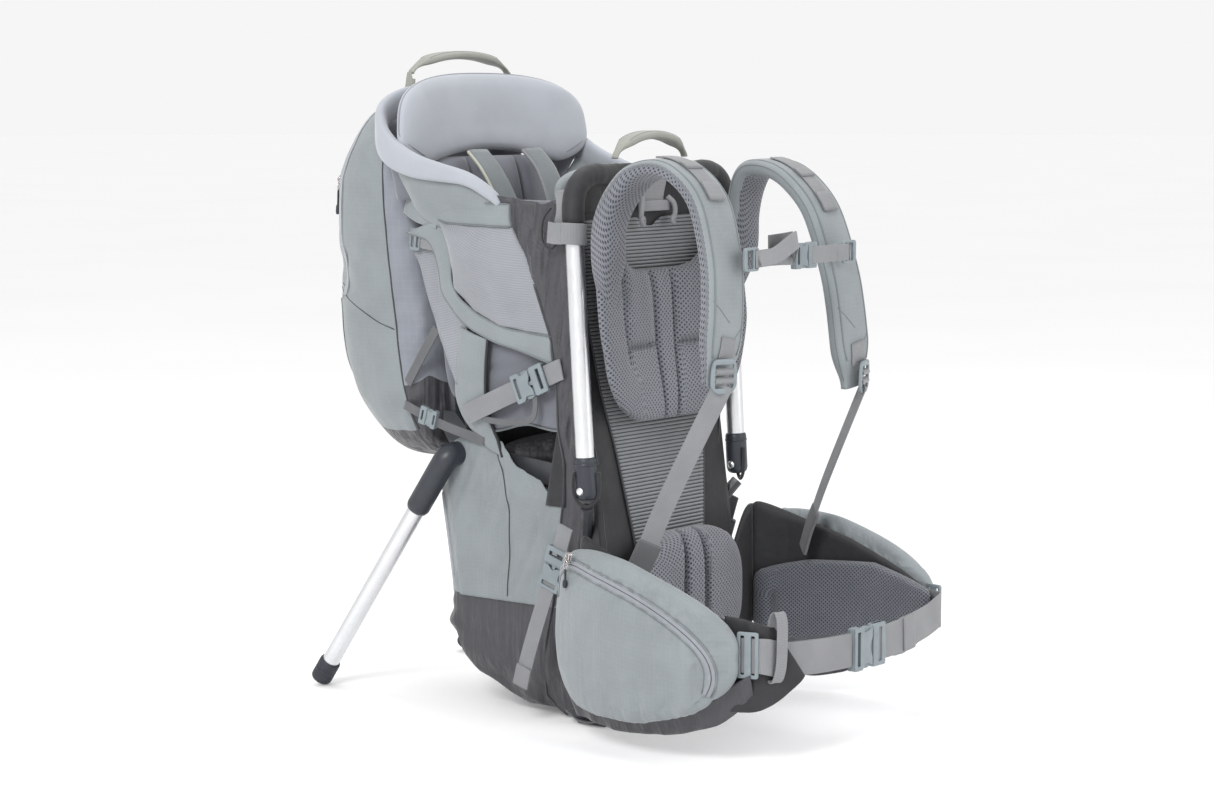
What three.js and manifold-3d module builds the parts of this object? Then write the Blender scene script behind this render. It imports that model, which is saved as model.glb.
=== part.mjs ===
// Child carrier backpack: tube frame, folding kickstand, child cockpit, day pack,
// height-adjustable shoulder harness and hip belt.
// Millimetres. +Z is up and the floor is Z = 0. The harness and the wearer are on the -Y side,
// the day pack is on the +Y side, and the wearer's left is +X.
import * as THREE from 'three';
import { mergeVertices } from 'three/addons/utils/BufferGeometryUtils.js';
import Module from 'manifold-3d';

const wasm = await Module();
wasm.setup();

// ---- driving dimensions -------------------------------------------------------------------

const GAP = 0.4; // clearance between pieces that touch
const TUBE_RADIUS = 10.5; // uprights and kickstand legs
const UPRIGHT_X = 145; // half the distance between the uprights
const UPRIGHT_BOTTOM = 286; // end of the upright tube, inside its cap
const UPRIGHT_TOP = 628; // middle of the top bar
const UPRIGHT_LEAN = 0.061; // how far the uprights lean back per millimetre of height
const UPRIGHT_FOOT_Y = -7; // middle of the upright at UPRIGHT_BOTTOM

const CAP_RADIUS = 12.6;
const CAP_TOP = 314;
const CAP_BOTTOM = 266;

const POST_X = 112; // lower frame posts, inboard of the folding kickstand
const POST_RADIUS = 7;
const POST_Y = 15;
const SKID_HEIGHT = 7; // moulded skid under the lower frame

const HINGE_Y = 207; // kickstand cross tube
const HINGE_Z = 299;
const LEG_X = 135;
const LEG_TILT = THREE.MathUtils.degToRad(35.5); // from the vertical, at rest
const ELBOW_RADIUS = 14;
const ELBOW_REACH = 84; // from the hinge axis to the lower end of the elbow
const FOOT_RADIUS = 13;
const FOOT_LENGTH = 30;

const BODY_X = 117; // half the width of the fabric base, clear of the folded legs
const COCKPIT_X = 126; // half the inside width of the child cockpit
const WALL = 6; // cockpit side wall
const SEAT_Z = 318; // top of the child seat
const HEADREST_Z = [642, 740];

const BELT_Z = 112; // middle of the belt webbing at the buckle
const BELT_Y = -288;
const BELT_HEIGHT = 38;
const WEBBING = 2; // thickness of belt webbing

const STRAP_WIDTH = 62;
const STRAP_THICK = 20;
const STERNUM_Z = 540;
const STERNUM_Y = -198;

// ---- colours ------------------------------------------------------------------------------

const FABRIC = { color: 0x98a3a3, roughness: 0.85, metalness: 0 };
const CUSHION = { color: 0xacb0bc, roughness: 0.9, metalness: 0 };
const CHARCOAL = { color: 0x545458, roughness: 0.85, metalness: 0 };
const BLACK = { color: 0x343438, roughness: 0.9, metalness: 0 };
const MESH = { color: 0x82858e, roughness: 0.95, metalness: 0 };
const WEB = { color: 0xa0a0a0, roughness: 0.8, metalness: 0 };
const BUCKLE = { color: 0x96a2a8, roughness: 0.5, metalness: 0 };
const SILVER = { color: 0xd8d8d8, roughness: 0.3, metalness: 0.9 };
const DARK_METAL = { color: 0x3c3e42, roughness: 0.5, metalness: 0.6 };
const PLASTIC = { color: 0x32363e, roughness: 0.5, metalness: 0 };
const RUBBER = { color: 0x2a2e36, roughness: 0.8, metalness: 0 };

const carrier = new THREE.Group();

// ---- helpers ------------------------------------------------------------------------------

function vec(point) {
  return new THREE.Vector3(point[0], point[1], point[2]);
}

function mix(a, b, t) {
  return a + (b - a) * t;
}

function clamp01(t) {
  return Math.min(1, Math.max(0, t));
}

// Straight pieces between [at, value] pairs.
function profile(pairs, at) {
  for (let i = 1; i < pairs.length; i += 1) {
    if (at <= pairs[i][0]) {
      const t = clamp01((at - pairs[i - 1][0]) / (pairs[i][0] - pairs[i - 1][0]));
      return mix(pairs[i - 1][1], pairs[i][1], t);
    }
  }
  return pairs[pairs.length - 1][1];
}

function uprightY(z) {
  return UPRIGHT_FOOT_Y + (z - UPRIGHT_BOTTOM) * UPRIGHT_LEAN;
}

function closedOnly(geometry) {
  geometry.deleteAttribute('normal');
  geometry.deleteAttribute('uv');
  const merged = mergeVertices(geometry, 1e-3);
  merged.computeVertexNormals();
  return merged;
}

function add(name, geometry, look) {
  const mesh = new THREE.Mesh(closedOnly(geometry), new THREE.MeshStandardMaterial(look));
  mesh.name = name;
  carrier.add(mesh);
}

function toSolid(geometry) {
  const clean = closedOnly(geometry);
  return new wasm.Manifold(new wasm.Mesh({
    numProp: 3,
    vertProperties: new Float32Array(clean.attributes.position.array),
    triVerts: new Uint32Array(clean.index.array),
  }));
}

function fromSolid(solid) {
  const mesh = solid.getMesh();
  const geometry = new THREE.BufferGeometry();
  const corners = new Float32Array(mesh.vertProperties);
  const triangles = new Uint32Array(mesh.triVerts);
  geometry.setAttribute('position', new THREE.BufferAttribute(corners, 3));
  geometry.setIndex(new THREE.BufferAttribute(triangles, 1));
  return geometry;
}

function join(...geometries) {
  return fromSolid(geometries.map(toSolid).reduce((sum, next) => sum.add(next)));
}

function cut(geometry, ...tools) {
  return fromSolid(tools.map(toSolid).reduce((rest, tool) => rest.subtract(tool), toSolid(geometry)));
}

function disc(radius, sides) {
  const shape = new THREE.Shape();
  for (let i = 0; i < sides; i += 1) {
    const angle = (2 * Math.PI * i) / sides;
    const x = radius * Math.cos(angle);
    const y = radius * Math.sin(angle);
    if (i === 0) {
      shape.moveTo(x, y);
    } else {
      shape.lineTo(x, y);
    }
  }
  shape.closePath();
  return shape;
}

// A path of straight runs with each corner rounded by `radius`.
function roundedPath(points, radius) {
  const path = new THREE.CurvePath();
  let from = vec(points[0]);
  for (let i = 1; i < points.length - 1; i += 1) {
    const corner = vec(points[i]);
    const before = vec(points[i - 1]).sub(corner);
    const after = vec(points[i + 1]).sub(corner);
    const reach = Math.min(radius, before.length() * 0.49, after.length() * 0.49);
    const start = corner.clone().add(before.setLength(reach));
    const end = corner.clone().add(after.setLength(reach));
    path.add(new THREE.LineCurve3(from, start));
    path.add(new THREE.QuadraticBezierCurve3(start, corner, end));
    from = end;
  }
  path.add(new THREE.LineCurve3(from, vec(points[points.length - 1])));
  return path;
}

function tube(path, radius, sides, steps) {
  return new THREE.ExtrudeGeometry(disc(radius, sides), { steps, extrudePath: path });
}

function rod(from, to, radius, sides = 12) {
  return tube(new THREE.LineCurve3(vec(from), vec(to)), radius, sides, 1);
}

function box(x, y, z) {
  const geometry = new THREE.BoxGeometry(x[1] - x[0], y[1] - y[0], z[1] - z[0]);
  geometry.translate((x[0] + x[1]) / 2, (y[0] + y[1]) / 2, (z[0] + z[1]) / 2);
  return geometry;
}

// The [low, high] range of `size` around `middle`.
function around(middle, size) {
  return [middle - size / 2, middle + size / 2];
}

// Moves each point of a subdivided cube of half size 1 to place(u, v, w).
// `power` rounds the cube first: 2 gives a ball and a large number leaves it square.
function soft(cells, power, place) {
  const geometry = new THREE.BoxGeometry(2, 2, 2, cells[0], cells[1], cells[2]);
  const position = geometry.attributes.position;
  const total = (a) => Math.abs(a) ** power;
  for (let i = 0; i < position.count; i += 1) {
    const u = position.getX(i);
    const v = position.getY(i);
    const w = position.getZ(i);
    const size = (total(u) + total(v) + total(w)) ** (1 / power);
    const most = Math.max(Math.abs(u), Math.abs(v), Math.abs(w));
    const k = most / size;
    const point = place(u * k, v * k, w * k);
    position.setXYZ(i, point[0], point[1], point[2]);
  }
  return geometry;
}

// A flat band that follows `points` in the Y-Z plane and is `width` wide along X.
function sideBand(points, thickness, width, x) {
  const flat = points.map(([y, z]) => new THREE.Vector2(y, z));
  const outer = [];
  const inner = [];
  for (let i = 0; i < flat.length; i += 1) {
    const before = flat[Math.max(0, i - 1)];
    const after = flat[Math.min(flat.length - 1, i + 1)];
    const along = after.clone().sub(before).normalize();
    const normal = new THREE.Vector2(-along.y, along.x).multiplyScalar(thickness / 2);
    outer.push(flat[i].clone().add(normal));
    inner.push(flat[i].clone().sub(normal));
  }
  const shape = new THREE.Shape(outer.concat(inner.reverse()));
  const geometry = new THREE.ExtrudeGeometry(shape, { depth: width, bevelEnabled: false });
  const position = geometry.attributes.position;
  for (let i = 0; i < position.count; i += 1) {
    const y = position.getX(i);
    const z = position.getY(i);
    const across = position.getZ(i) - width / 2;
    position.setXYZ(i, x(y, z) + across, y, z);
  }
  return geometry;
}

// An outline in the Y-Z plane, `thick` wide along X from x0.
function sidePlate(shape, x0, thick) {
  const settings = { depth: thick, bevelEnabled: false, curveSegments: 10 };
  const geometry = new THREE.ExtrudeGeometry(shape, settings);
  const position = geometry.attributes.position;
  for (let i = 0; i < position.count; i += 1) {
    position.setXYZ(i, x0 + position.getZ(i), position.getX(i), position.getY(i));
  }
  return geometry;
}

// An outline in the X-Z plane, from y0 to y0 + depth.
function frontPlate(shape, y0, depth) {
  const geometry = new THREE.ExtrudeGeometry(shape, { depth, bevelEnabled: false });
  geometry.rotateX(Math.PI / 2);
  geometry.translate(0, y0 + depth, 0);
  return geometry;
}

function outline(points) {
  return new THREE.Shape(points.map(([a, b]) => new THREE.Vector2(a, b)));
}

// Both copies of a paired piece: side is +1 on the wearer's left and -1 on the right.
function pair(build) {
  build(1, 'left');
  build(-1, 'right');
}

// ---- tube frame ---------------------------------------------------------------------------

function upperFrame() {
  const corner = 45;
  const path = roundedPath([
    [-UPRIGHT_X, uprightY(UPRIGHT_BOTTOM), UPRIGHT_BOTTOM],
    [-UPRIGHT_X, uprightY(UPRIGHT_TOP), UPRIGHT_TOP],
    [UPRIGHT_X, uprightY(UPRIGHT_TOP), UPRIGHT_TOP],
    [UPRIGHT_X, uprightY(UPRIGHT_BOTTOM), UPRIGHT_BOTTOM],
  ], corner);
  add('upper_frame_tube', tube(path, TUBE_RADIUS, 12, 34), SILVER);
}

function uprightCap(side, label) {
  const bore = TUBE_RADIUS + GAP;
  const rim = 1.2;
  const body = new THREE.LatheGeometry([
    [0, CAP_BOTTOM],
    [CAP_RADIUS - 3, CAP_BOTTOM],
    [CAP_RADIUS, CAP_BOTTOM + 4],
    [CAP_RADIUS, CAP_TOP - rim],
    [CAP_RADIUS - rim / 2, CAP_TOP],
    [bore, CAP_TOP],
    [bore, UPRIGHT_BOTTOM - 2],
    [0, UPRIGHT_BOTTOM - 2],
  ].map(([r, z]) => new THREE.Vector2(r, z - UPRIGHT_BOTTOM)), 18);
  body.rotateX(Math.PI / 2 - Math.atan(UPRIGHT_LEAN));
  body.translate(side * UPRIGHT_X, UPRIGHT_FOOT_Y, UPRIGHT_BOTTOM);
  const rivetZ = UPRIGHT_BOTTOM - 9;
  const rivetY = UPRIGHT_FOOT_Y - 1;
  const x = [side * (UPRIGHT_X - CAP_RADIUS - 2), side * (UPRIGHT_X + CAP_RADIUS + 2)];
  const rivet = rod([x[0], rivetY, rivetZ], [x[1], rivetY, rivetZ], 4, 10);
  add(`upright_cap_${label}`, join(body, rivet), PLASTIC);
}

function lowerFrame() {
  const topZ = CAP_BOTTOM - 9;
  const barZ = SKID_HEIGHT + POST_RADIUS + GAP;
  const corner = 26;
  const points = [
    [UPRIGHT_X, UPRIGHT_FOOT_Y - 1, topZ],
    [POST_X + 6, POST_Y, topZ - 40],
    [POST_X, POST_Y, topZ - 70],
    [POST_X, POST_Y, barZ],
  ];
  const mirrored = points.map(([x, y, z]) => [-x, y, z]).reverse();
  const path = roundedPath(points.concat(mirrored), corner);
  add('lower_frame_tube', tube(path, POST_RADIUS, 8, 44), DARK_METAL);
}

function baseSkid() {
  const halfX = POST_X + 6;
  const turn = 10;
  const shape = outline([
    [-halfX + turn, 0],
    [halfX - turn, 0],
    [halfX, turn],
    [halfX, turn + 6],
    [halfX - 5, turn + 6],
    [halfX - turn - 2, SKID_HEIGHT],
    [-halfX + turn + 2, SKID_HEIGHT],
    [-halfX + 5, turn + 6],
    [-halfX, turn + 6],
    [-halfX, turn],
  ]);
  const barZ = SKID_HEIGHT + POST_RADIUS + GAP;
  const groove = rod([-halfX - 2, POST_Y, barZ], [halfX + 2, POST_Y, barZ], POST_RADIUS + 1.5);
  const front = -4;
  const depth = 38;
  add('base_skid', cut(frontPlate(shape, front, depth), groove), PLASTIC);
}

// Flat steel plate that carries the kickstand's cross tube on each side.
function kickstandPlate(side, label) {
  const lobe = 20;
  const front = 4;
  const low = 266;
  const shape = new THREE.Shape();
  shape.moveTo(front, low);
  shape.lineTo(HINGE_Y - 8, HINGE_Z - lobe);
  shape.absarc(HINGE_Y, HINGE_Z, lobe, -Math.PI / 2, 0.15, false);
  shape.lineTo(240, 322);
  shape.lineTo(240, 346);
  shape.lineTo(222, 346);
  shape.lineTo(HINGE_Y - 24, HINGE_Z + 8);
  shape.lineTo(front, low + 24);
  shape.closePath();
  const hole = new THREE.Path();
  hole.absarc(HINGE_Y, HINGE_Z, TUBE_RADIUS + GAP, 0, 2 * Math.PI, true);
  shape.holes.push(hole);
  const thick = 4;
  const inner = POST_X - POST_RADIUS - GAP - thick;
  const x0 = side > 0 ? inner : -inner - thick;
  add(`kickstand_plate_${label}`, sidePlate(shape, x0, thick), DARK_METAL);
}

// Rear face of the cockpit back at height z.
function backY(z) {
  return profile([[300, 221], [450, 237], [600, 262], [720, 285]], z);
}

function rearHoop() {
  const radius = 6;
  const middle = radius + GAP;
  const x = 92;
  const rise = [322, 450, 560, 630].map((z) => [-x, backY(z) + middle, z]);
  const fall = rise.map(([px, y, z]) => [-px, y, z]).reverse();
  add('rear_frame_hoop', tube(roundedPath(rise.concat(fall), 34), radius, 8, 34), DARK_METAL);
}

// ---- kickstand ----------------------------------------------------------------------------

function legPoint(side, reach) {
  return [side * LEG_X, HINGE_Y + reach * Math.sin(LEG_TILT), HINGE_Z - reach * Math.cos(LEG_TILT)];
}

const LEG_END = (HINGE_Z - FOOT_RADIUS * Math.sin(LEG_TILT)) / Math.cos(LEG_TILT);

function kickstandElbow(side, label) {
  const inner = POST_X - POST_RADIUS - GAP + 1;
  const onAxis = (x) => [side * x, HINGE_Y, HINGE_Z];
  const points = [onAxis(inner), onAxis(LEG_X), legPoint(side, ELBOW_REACH)];
  const body = tube(roundedPath(points, 24), ELBOW_RADIUS, 14, 16);
  const bore = TUBE_RADIUS + GAP;
  const crossBore = rod(onAxis(inner - 5), onAxis(inner + 10), bore);
  const legBore = rod(legPoint(side, ELBOW_REACH - 26), legPoint(side, ELBOW_REACH + 5), bore);
  add(`kickstand_elbow_${label}`, cut(body, crossBore, legBore), PLASTIC);
}

function kickstandLeg(side, label) {
  const from = legPoint(side, ELBOW_REACH - 25);
  const to = legPoint(side, LEG_END - 6);
  add(`kickstand_leg_${label}`, rod(from, to, TUBE_RADIUS, 16), SILVER);
}

function kickstandFoot(side, label) {
  const top = LEG_END - FOOT_LENGTH;
  const sole = 5.5;
  const body = rod(legPoint(side, top), legPoint(side, LEG_END), FOOT_RADIUS, 16);
  const bore = rod(legPoint(side, top - 2), legPoint(side, LEG_END - sole), TUBE_RADIUS + GAP, 16);
  add(`kickstand_foot_${label}`, cut(body, bore), RUBBER);
}

function kickstandCross() {
  const end = POST_X - POST_RADIUS - GAP + 10;
  const cross = rod([-end, HINGE_Y, HINGE_Z], [end, HINGE_Y, HINGE_Z], TUBE_RADIUS, 16);
  add('kickstand_cross_tube', cross, SILVER);
}

// ---- back panel and lumbar ----------------------------------------------------------------

// The panel is hollowed where the shoulder yoke slides down it.
function backPanel() {
  const halfWidth = (z) => profile([[24, 104], [66, 108], [90, 128], [300, 128], [600, 130]], z);
  const front = (z) => profile([[0, -10], [200, -16], [296, -4], [381, 10], [478, 16], [620, 16]], z);
  const thick = 6;
  add('back_panel', soft([6, 1, 14], 14, (u, v, w) => {
    const z = mix(24, 610, (w + 1) / 2);
    return [u * halfWidth(z), front(z) + (v + 1) * thick / 2, z];
  }), BLACK);
}

function lumbarPad() {
  add('lumbar_pad', soft([8, 3, 8], 4, (u, v, w) => {
    const narrow = 1 - 0.25 * Math.max(0, w) ** 2;
    return [u * 86 * narrow, mix(-58, -30, (v + 1) / 2), mix(70, 218, (w + 1) / 2)];
  }), MESH);
}

function hipBeltBand() {
  const halfWidth = 150 - GAP - 0.2;
  add('hip_belt_band', box([-halfWidth, halfWidth], [-28.5, -19], [76, 226]), BLACK);
}

// ---- hip belt -----------------------------------------------------------------------------

// Plan line of a wing's inner face, from the back panel (t = 0) to the tip (t = 1).
const wingLine = new THREE.QuadraticBezierCurve(
  new THREE.Vector2(150, -19),
  new THREE.Vector2(196, -140),
  new THREE.Vector2(156, -268),
);

function wingPoint(side, t, out) {
  const at = wingLine.getPoint(t);
  const along = wingLine.getTangent(t);
  return [side * (at.x - along.y * out), at.y + along.x * out];
}

const WING_THICK = 20;

function hipWing(side, label) {
  add(`hip_wing_${label}`, soft([10, 2, 5], 8, (u, v, w) => {
    const t = (u + 1) / 2;
    const [x, y] = wingPoint(side, t, (v + 1) * WING_THICK / 2);
    const low = profile([[0, 78], [0.5, 72], [1, 98]], t);
    const high = profile([[0, 226], [0.5, 196], [0.8, 176], [1, 146]], t);
    return [x, y, mix(low, high, (side * w + 1) / 2)];
  }), MESH);
}

function hipPocket(side, label) {
  const deep = 30;
  add(`hip_pocket_${label}`, soft([10, 3, 6], 3.4, (u, v, w) => {
    const along = mix(-0.02, 0.9, (u + 1) / 2);
    const t = clamp01(along);
    const [x, y] = wingPoint(side, t, WING_THICK + GAP + (v + 1) * deep / 2);
    const low = profile([[0, 40], [0.45, 40], [0.75, 58], [1, 96]], t);
    const high = profile([[0, 236], [0.4, 218], [0.8, 182], [1, 150]], t);
    return [x, y + (t - along) * 60, mix(low, high, (side * w + 1) / 2)];
  }), FABRIC);
}

function pocketZip(side, label) {
  const [x, y] = wingPoint(side, 0.12, WING_THICK + 33);
  const body = new THREE.BoxGeometry(5, 8, 9);
  body.translate(x, y, 216);
  const pull = new THREE.BoxGeometry(2.4, 5, 22);
  pull.translate(x, y, 203);
  add(`pocket_zip_slider_${label}`, join(body, pull), SILVER);
}

// The belt sags towards the buckle.
function beltRise(x) {
  return 9 * (x / 172) ** 2;
}

function beltWebbing(side, label, innerX) {
  const outer = side * 172;
  const curl = [[0, 0], [90, 4], [150, 12], [172, 18]];
  const face = (x) => BELT_Y + profile(curl, Math.abs(x));
  const xs = [outer, side * 150, side * 90, side * innerX];
  const front = xs.map((x) => [x, face(x)]);
  const back = front.map(([x, y]) => [x, y - WEBBING]).reverse();
  const shape = outline(front.concat(back));
  const geometry = new THREE.ExtrudeGeometry(shape, { depth: BELT_HEIGHT, bevelEnabled: false });
  const position = geometry.attributes.position;
  for (let i = 0; i < position.count; i += 1) {
    const rise = beltRise(position.getX(i));
    position.setZ(i, position.getZ(i) + BELT_Z - BELT_HEIGHT / 2 + rise);
  }
  add(`belt_webbing_${label}`, geometry, WEB);
}

// Female half of a side-release buckle. `mouth` is the middle of its open end, which faces +X.
function buckleFemale(name, mouth, size) {
  const [x, y, z] = mouth;
  const [length, depth, height] = size;
  const wall = depth * 0.2;
  const body = box([x - length, x], around(y, depth), around(z, height));
  const socket = box([x - length * 0.72, x + 1],
    around(y, depth - wall * 2),
    around(z, height - wall * 2.8));
  const slot = box([x - length * 0.93, x - length * 0.8], around(y, depth * 2), around(z, height * 0.72));
  add(name, cut(body, socket, slot), BUCKLE);
}

// The male half, with the start of its webbing, which lies in front of the fixed webbing.
function buckleMale(name, mouth, size, webbing) {
  const [x, y, z] = mouth;
  const [length, depth, height] = size;
  const [webEnd, webHeight] = webbing;
  const webY = y - WEBBING - GAP;
  const web = box([x + length * 0.5, webEnd], [webY - WEBBING, webY], around(z, webHeight));
  const wall = depth * 0.2;
  const tongueY = around(y, depth - (wall + GAP) * 2);
  const tongue = height / 2 - wall * 1.4 - GAP;
  const reach = length * 0.66;
  const base = box([x + 1, x + length * 0.55], around(y, depth), around(z, height));
  const upper = box([x - reach, x + 3], tongueY, [z + tongue * 0.45, z + tongue]);
  const lower = box([x - reach, x + 3], tongueY, [z - tongue, z - tongue * 0.45]);
  const guide = box([x - reach * 0.8, x + 3], tongueY, around(z, tongue * 0.32));
  const slot = box([x + length * 0.22, x + length * 0.4], around(y, depth * 2), around(z, height * 0.72));
  add(name, join(cut(join(base, upper, lower, guide), slot), web), BUCKLE);
}

const BELT_BUCKLE = [40, 13, 48];
const BELT_MOUTH = [2, BELT_Y - 1, BELT_Z];

// ---- fabric base, cockpit and day pack ----------------------------------------------------

function lowerCompartment() {
  add('lower_compartment', soft([5, 5, 7], 9, (u, v, w) => {
    const z = mix(9, 262, (w + 1) / 2);
    const back = profile([[9, 140], [40, 194], [90, 238], [140, 228], [190, 232], [262, 240]], z);
    const front = POST_Y + POST_RADIUS + 12;
    const half = profile([[9, 98], [60, 112], [140, BODY_X], [262, BODY_X - 2]], z);
    return [u * half, mix(front, back, (v + 1) / 2), z];
  }), FABRIC);
}

function sideWall(side, label) {
  const shape = outline([
    [26, 350],
    [150, 330],
    [206, 330],
    [214, 420],
    [236, 560],
    [250, 606],
    [110, 604],
    [30, 612],
  ]);
  const x0 = side > 0 ? COCKPIT_X : -COCKPIT_X - WALL;
  add(`side_wall_${label}`, sidePlate(shape, x0, WALL), CHARCOAL);
}

function sidePocket(side, label) {
  add(`side_pocket_${label}`, soft([2, 6, 6], 6, (u, v, w) => {
    const z = mix(452, 592, (w + 1) / 2);
    const rear = profile([[452, 150], [500, 184], [592, 214]], z);
    const y = mix(36, rear, (v + 1) / 2);
    const inner = COCKPIT_X + WALL + GAP;
    return [side * mix(inner, inner + 16, (side * u + 1) / 2), y, z];
  }), FABRIC);
}

function cockpitBack() {
  add('cockpit_back', soft([6, 2, 7], 8, (u, v, w) => {
    const z = mix(348, 640, (w + 1) / 2);
    return [u * (COCKPIT_X - GAP - 0.2), backY(z) - 24 + (v + 1) * 12, z];
  }), CUSHION);
}

// Padded rim that sweeps from the side walls up and round behind the headrest.
function cockpitRim() {
  const path = new THREE.CatmullRomCurve3([
    [-144, 60, 626],
    [-154, 130, 624],
    [-170, 200, 636],
    [-174, 256, 668],
    [-128, 294, 712],
    [0, 303, 722],
    [128, 294, 712],
    [174, 256, 668],
    [170, 200, 636],
    [154, 130, 624],
    [144, 60, 626],
  ].map(vec));
  add('cockpit_rim', tube(path, 13, 8, 30), CUSHION);
}

function headrestPad() {
  add('headrest_pad', soft([10, 3, 6], 3, (u, v, w) => {
    const wrap = 30 * u * u;
    const z = mix(HEADREST_Z[0], HEADREST_Z[1], (w + 1) / 2);
    const lean = (z - HEADREST_Z[0]) * 0.1;
    return [u * 166, mix(248, 282, (v + 1) / 2) - wrap + lean, z];
  }), CUSHION);
}

function droolPad() {
  add('drool_pad', soft([8, 3, 3], 4, (u, v, w) => [
    u * 112,
    mix(30, 54, (v + 1) / 2),
    mix(590, 634, (w + 1) / 2),
  ]), FABRIC);
}

function daypack() {
  add('daypack_body', soft([6, 6, 9], 5, (u, v, w) => {
    const z = mix(288, 704, (w + 1) / 2);
    const front = backY(z) + 14;
    const back = profile([
      [288, 360],
      [310, 376],
      [356, 412],
      [404, 430],
      [465, 440],
      [540, 444],
      [620, 438],
      [704, 392],
    ], z);
    const half = mix(130, 100, ((v + 1) / 2) ** 2);
    return [u * half, mix(front, back, (v + 1) / 2), z];
  }), FABRIC);
}

function daypackZip() {
  const body = box([-74, -65], [442, 447], [606, 618]);
  const pull = box([-71, -68], [443, 445.5], [578, 608]);
  add('daypack_zip_slider', join(body, pull), SILVER);
}

// ---- child seat ---------------------------------------------------------------------------

function childSeat() {
  add('child_seat_pad', soft([8, 6, 3], 5, (u, v, w) => {
    const y = mix(40, 184, (v + 1) / 2);
    const half = profile([[40, 46], [100, 62], [184, 104]], y);
    return [u * half, y, mix(SEAT_Z - 34, SEAT_Z, (w + 1) / 2)];
  }), BLACK);
}

function childHarness() {
  const bands = [1, -1].map((side) => sideBand(
    [[126, SEAT_Z + 34], [134, 420], [160, 520], [190, 592], [208, 618], [224, 624]],
    7,
    36,
    (y) => side * profile([[126, 30], [206, 50]], y),
  ));
  const chest = box([-60, 60], [144, 151], [470, 492]);
  const crotch = sideBand([[122, SEAT_Z + 3], [122, SEAT_Z + 24], [127, SEAT_Z + 46]], 6, 96, () => 0);
  add('child_harness', join(...bands, chest, crotch), CHARCOAL);
}

// ---- haul handles -------------------------------------------------------------------------

function haulHandle(name, halfX, y, z, rise) {
  const path = roundedPath([
    [-halfX, y, z],
    [-halfX + 16, y, z + rise],
    [halfX - 16, y, z + rise],
    [halfX, y, z],
  ], rise * 0.9);
  add(name, tube(path, 5.5, 8, 22), WEB);
}

// ---- side straps --------------------------------------------------------------------------

// Strap with a side-release buckle that hangs from the hip belt.
function sideStrap(side, label) {
  const top = [10, 236];
  const buckle = [26, 190];
  const web = sideBand([top, [22, 205], [40, 150], [66, 78], [76, 44]], 3, 20, () => side * 160);
  const body = new THREE.BoxGeometry(9, 24, 52);
  body.rotateX(THREE.MathUtils.degToRad(18));
  body.translate(side * 160, buckle[0], buckle[1]);
  add(`side_strap_${label}`, join(web, body), WEB);
}

// Strap that pulls the cockpit's side in, with its own buckle.
function compressionStrap(side, label) {
  const y = [40, 168];
  const z = [408, 352];
  const middle = COCKPIT_X + WALL + GAP + 5;
  const slope = Math.atan2(z[1] - z[0], y[1] - y[0]);
  const length = Math.hypot(y[1] - y[0], z[1] - z[0]);
  const web = new THREE.BoxGeometry(3, length, 24);
  const body = new THREE.BoxGeometry(9, 46, 30);
  body.translate(0, -length * 0.22, 0);
  const strap = join(web, body);
  strap.rotateX(slope);
  strap.translate(side * middle, (y[0] + y[1]) / 2, (z[0] + z[1]) / 2);
  add(`compression_strap_${label}`, strap, WEB);
}

// ---- shoulder harness ---------------------------------------------------------------------

const STRAP_PATH = [
  [-24, 535],
  [-26, 575],
  [-38, 606],
  [-58, 630],
  [-92, 638],
  [-122, 628],
  [-150, 600],
  [-169, 545],
  [-176, 500],
  [-178, 450],
  [-176, 404],
];

// The left strap hangs a little lower than the right one towards its free end.
const STRAP_SAG = { left: 22, right: 0 };

function strapDrop(label, y) {
  return STRAP_SAG[label] * clamp01((-y - 60) / 110);
}

function strapX(y, z) {
  return y < -130 ? profile([[404, 138], [462, 125], [545, 115], [603, 112]], z) : 108;
}

const YOKE_THICK = 18;

// The pad curves forward at its sides, in front of the uprights.
function yokePad() {
  add('yoke_back_pad', soft([8, 2, 6], 7, (u, v, w) => {
    const z = mix(346, 528, (w + 1) / 2);
    const half = profile([[346, 74], [365, 98], [400, 124], [458, 140], [528, 141]], z);
    const centre = profile([[346, -14], [431, 0], [528, 6]], z);
    const wrap = profile([[346, 10], [440, 26], [528, 22]], z);
    const y = centre - wrap * u * u + v * YOKE_THICK / 2;
    const dip = w > 0.5 ? (w - 0.5) * 10 * Math.cos(u * Math.PI) : 0;
    return [u * half, y, z - dip];
  }), MESH);
}

function shoulderStrap(side, label) {
  const points = STRAP_PATH.map(([y, z]) => [y, z - strapDrop(label, y)]);
  const x = (y, z) => side * strapX(y, z + strapDrop(label, y));
  add(`shoulder_strap_${label}`, sideBand(points, STRAP_THICK, STRAP_WIDTH, x), FABRIC);
}

const LOCK_Y = -192.5;
const LOCK_Z = 416;

function ladderLock(side, label) {
  const frame = new THREE.BoxGeometry(34, 7, 30);
  const windows = [-7, 7].map((z) => {
    const slot = new THREE.BoxGeometry(24, 20, 8);
    slot.translate(0, 0, z);
    return slot;
  });
  const lock = cut(frame, ...windows);
  lock.rotateX(THREE.MathUtils.degToRad(2));
  lock.translate(side * 138, LOCK_Y, LOCK_Z - STRAP_SAG[label]);
  add(`ladder_lock_${label}`, lock, BUCKLE);
}

// Webbing from the shoulder strap's end down to the hip wing.
function lowerWebbing(side, label) {
  const from = new THREE.Vector3(side * 139, -188, LOCK_Z - 19 - STRAP_SAG[label]);
  const to = new THREE.Vector3(side * 164, -100, 210);
  const along = to.clone().sub(from);
  const web = new THREE.BoxGeometry(22, 2.4, along.length());
  const down = new THREE.Vector3(0, 0, -1);
  web.applyQuaternion(new THREE.Quaternion().setFromUnitVectors(down, along.clone().normalize()));
  web.translate(...from.clone().add(to).multiplyScalar(0.5).toArray());
  add(`lower_webbing_${label}`, web, WEB);
}

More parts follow.
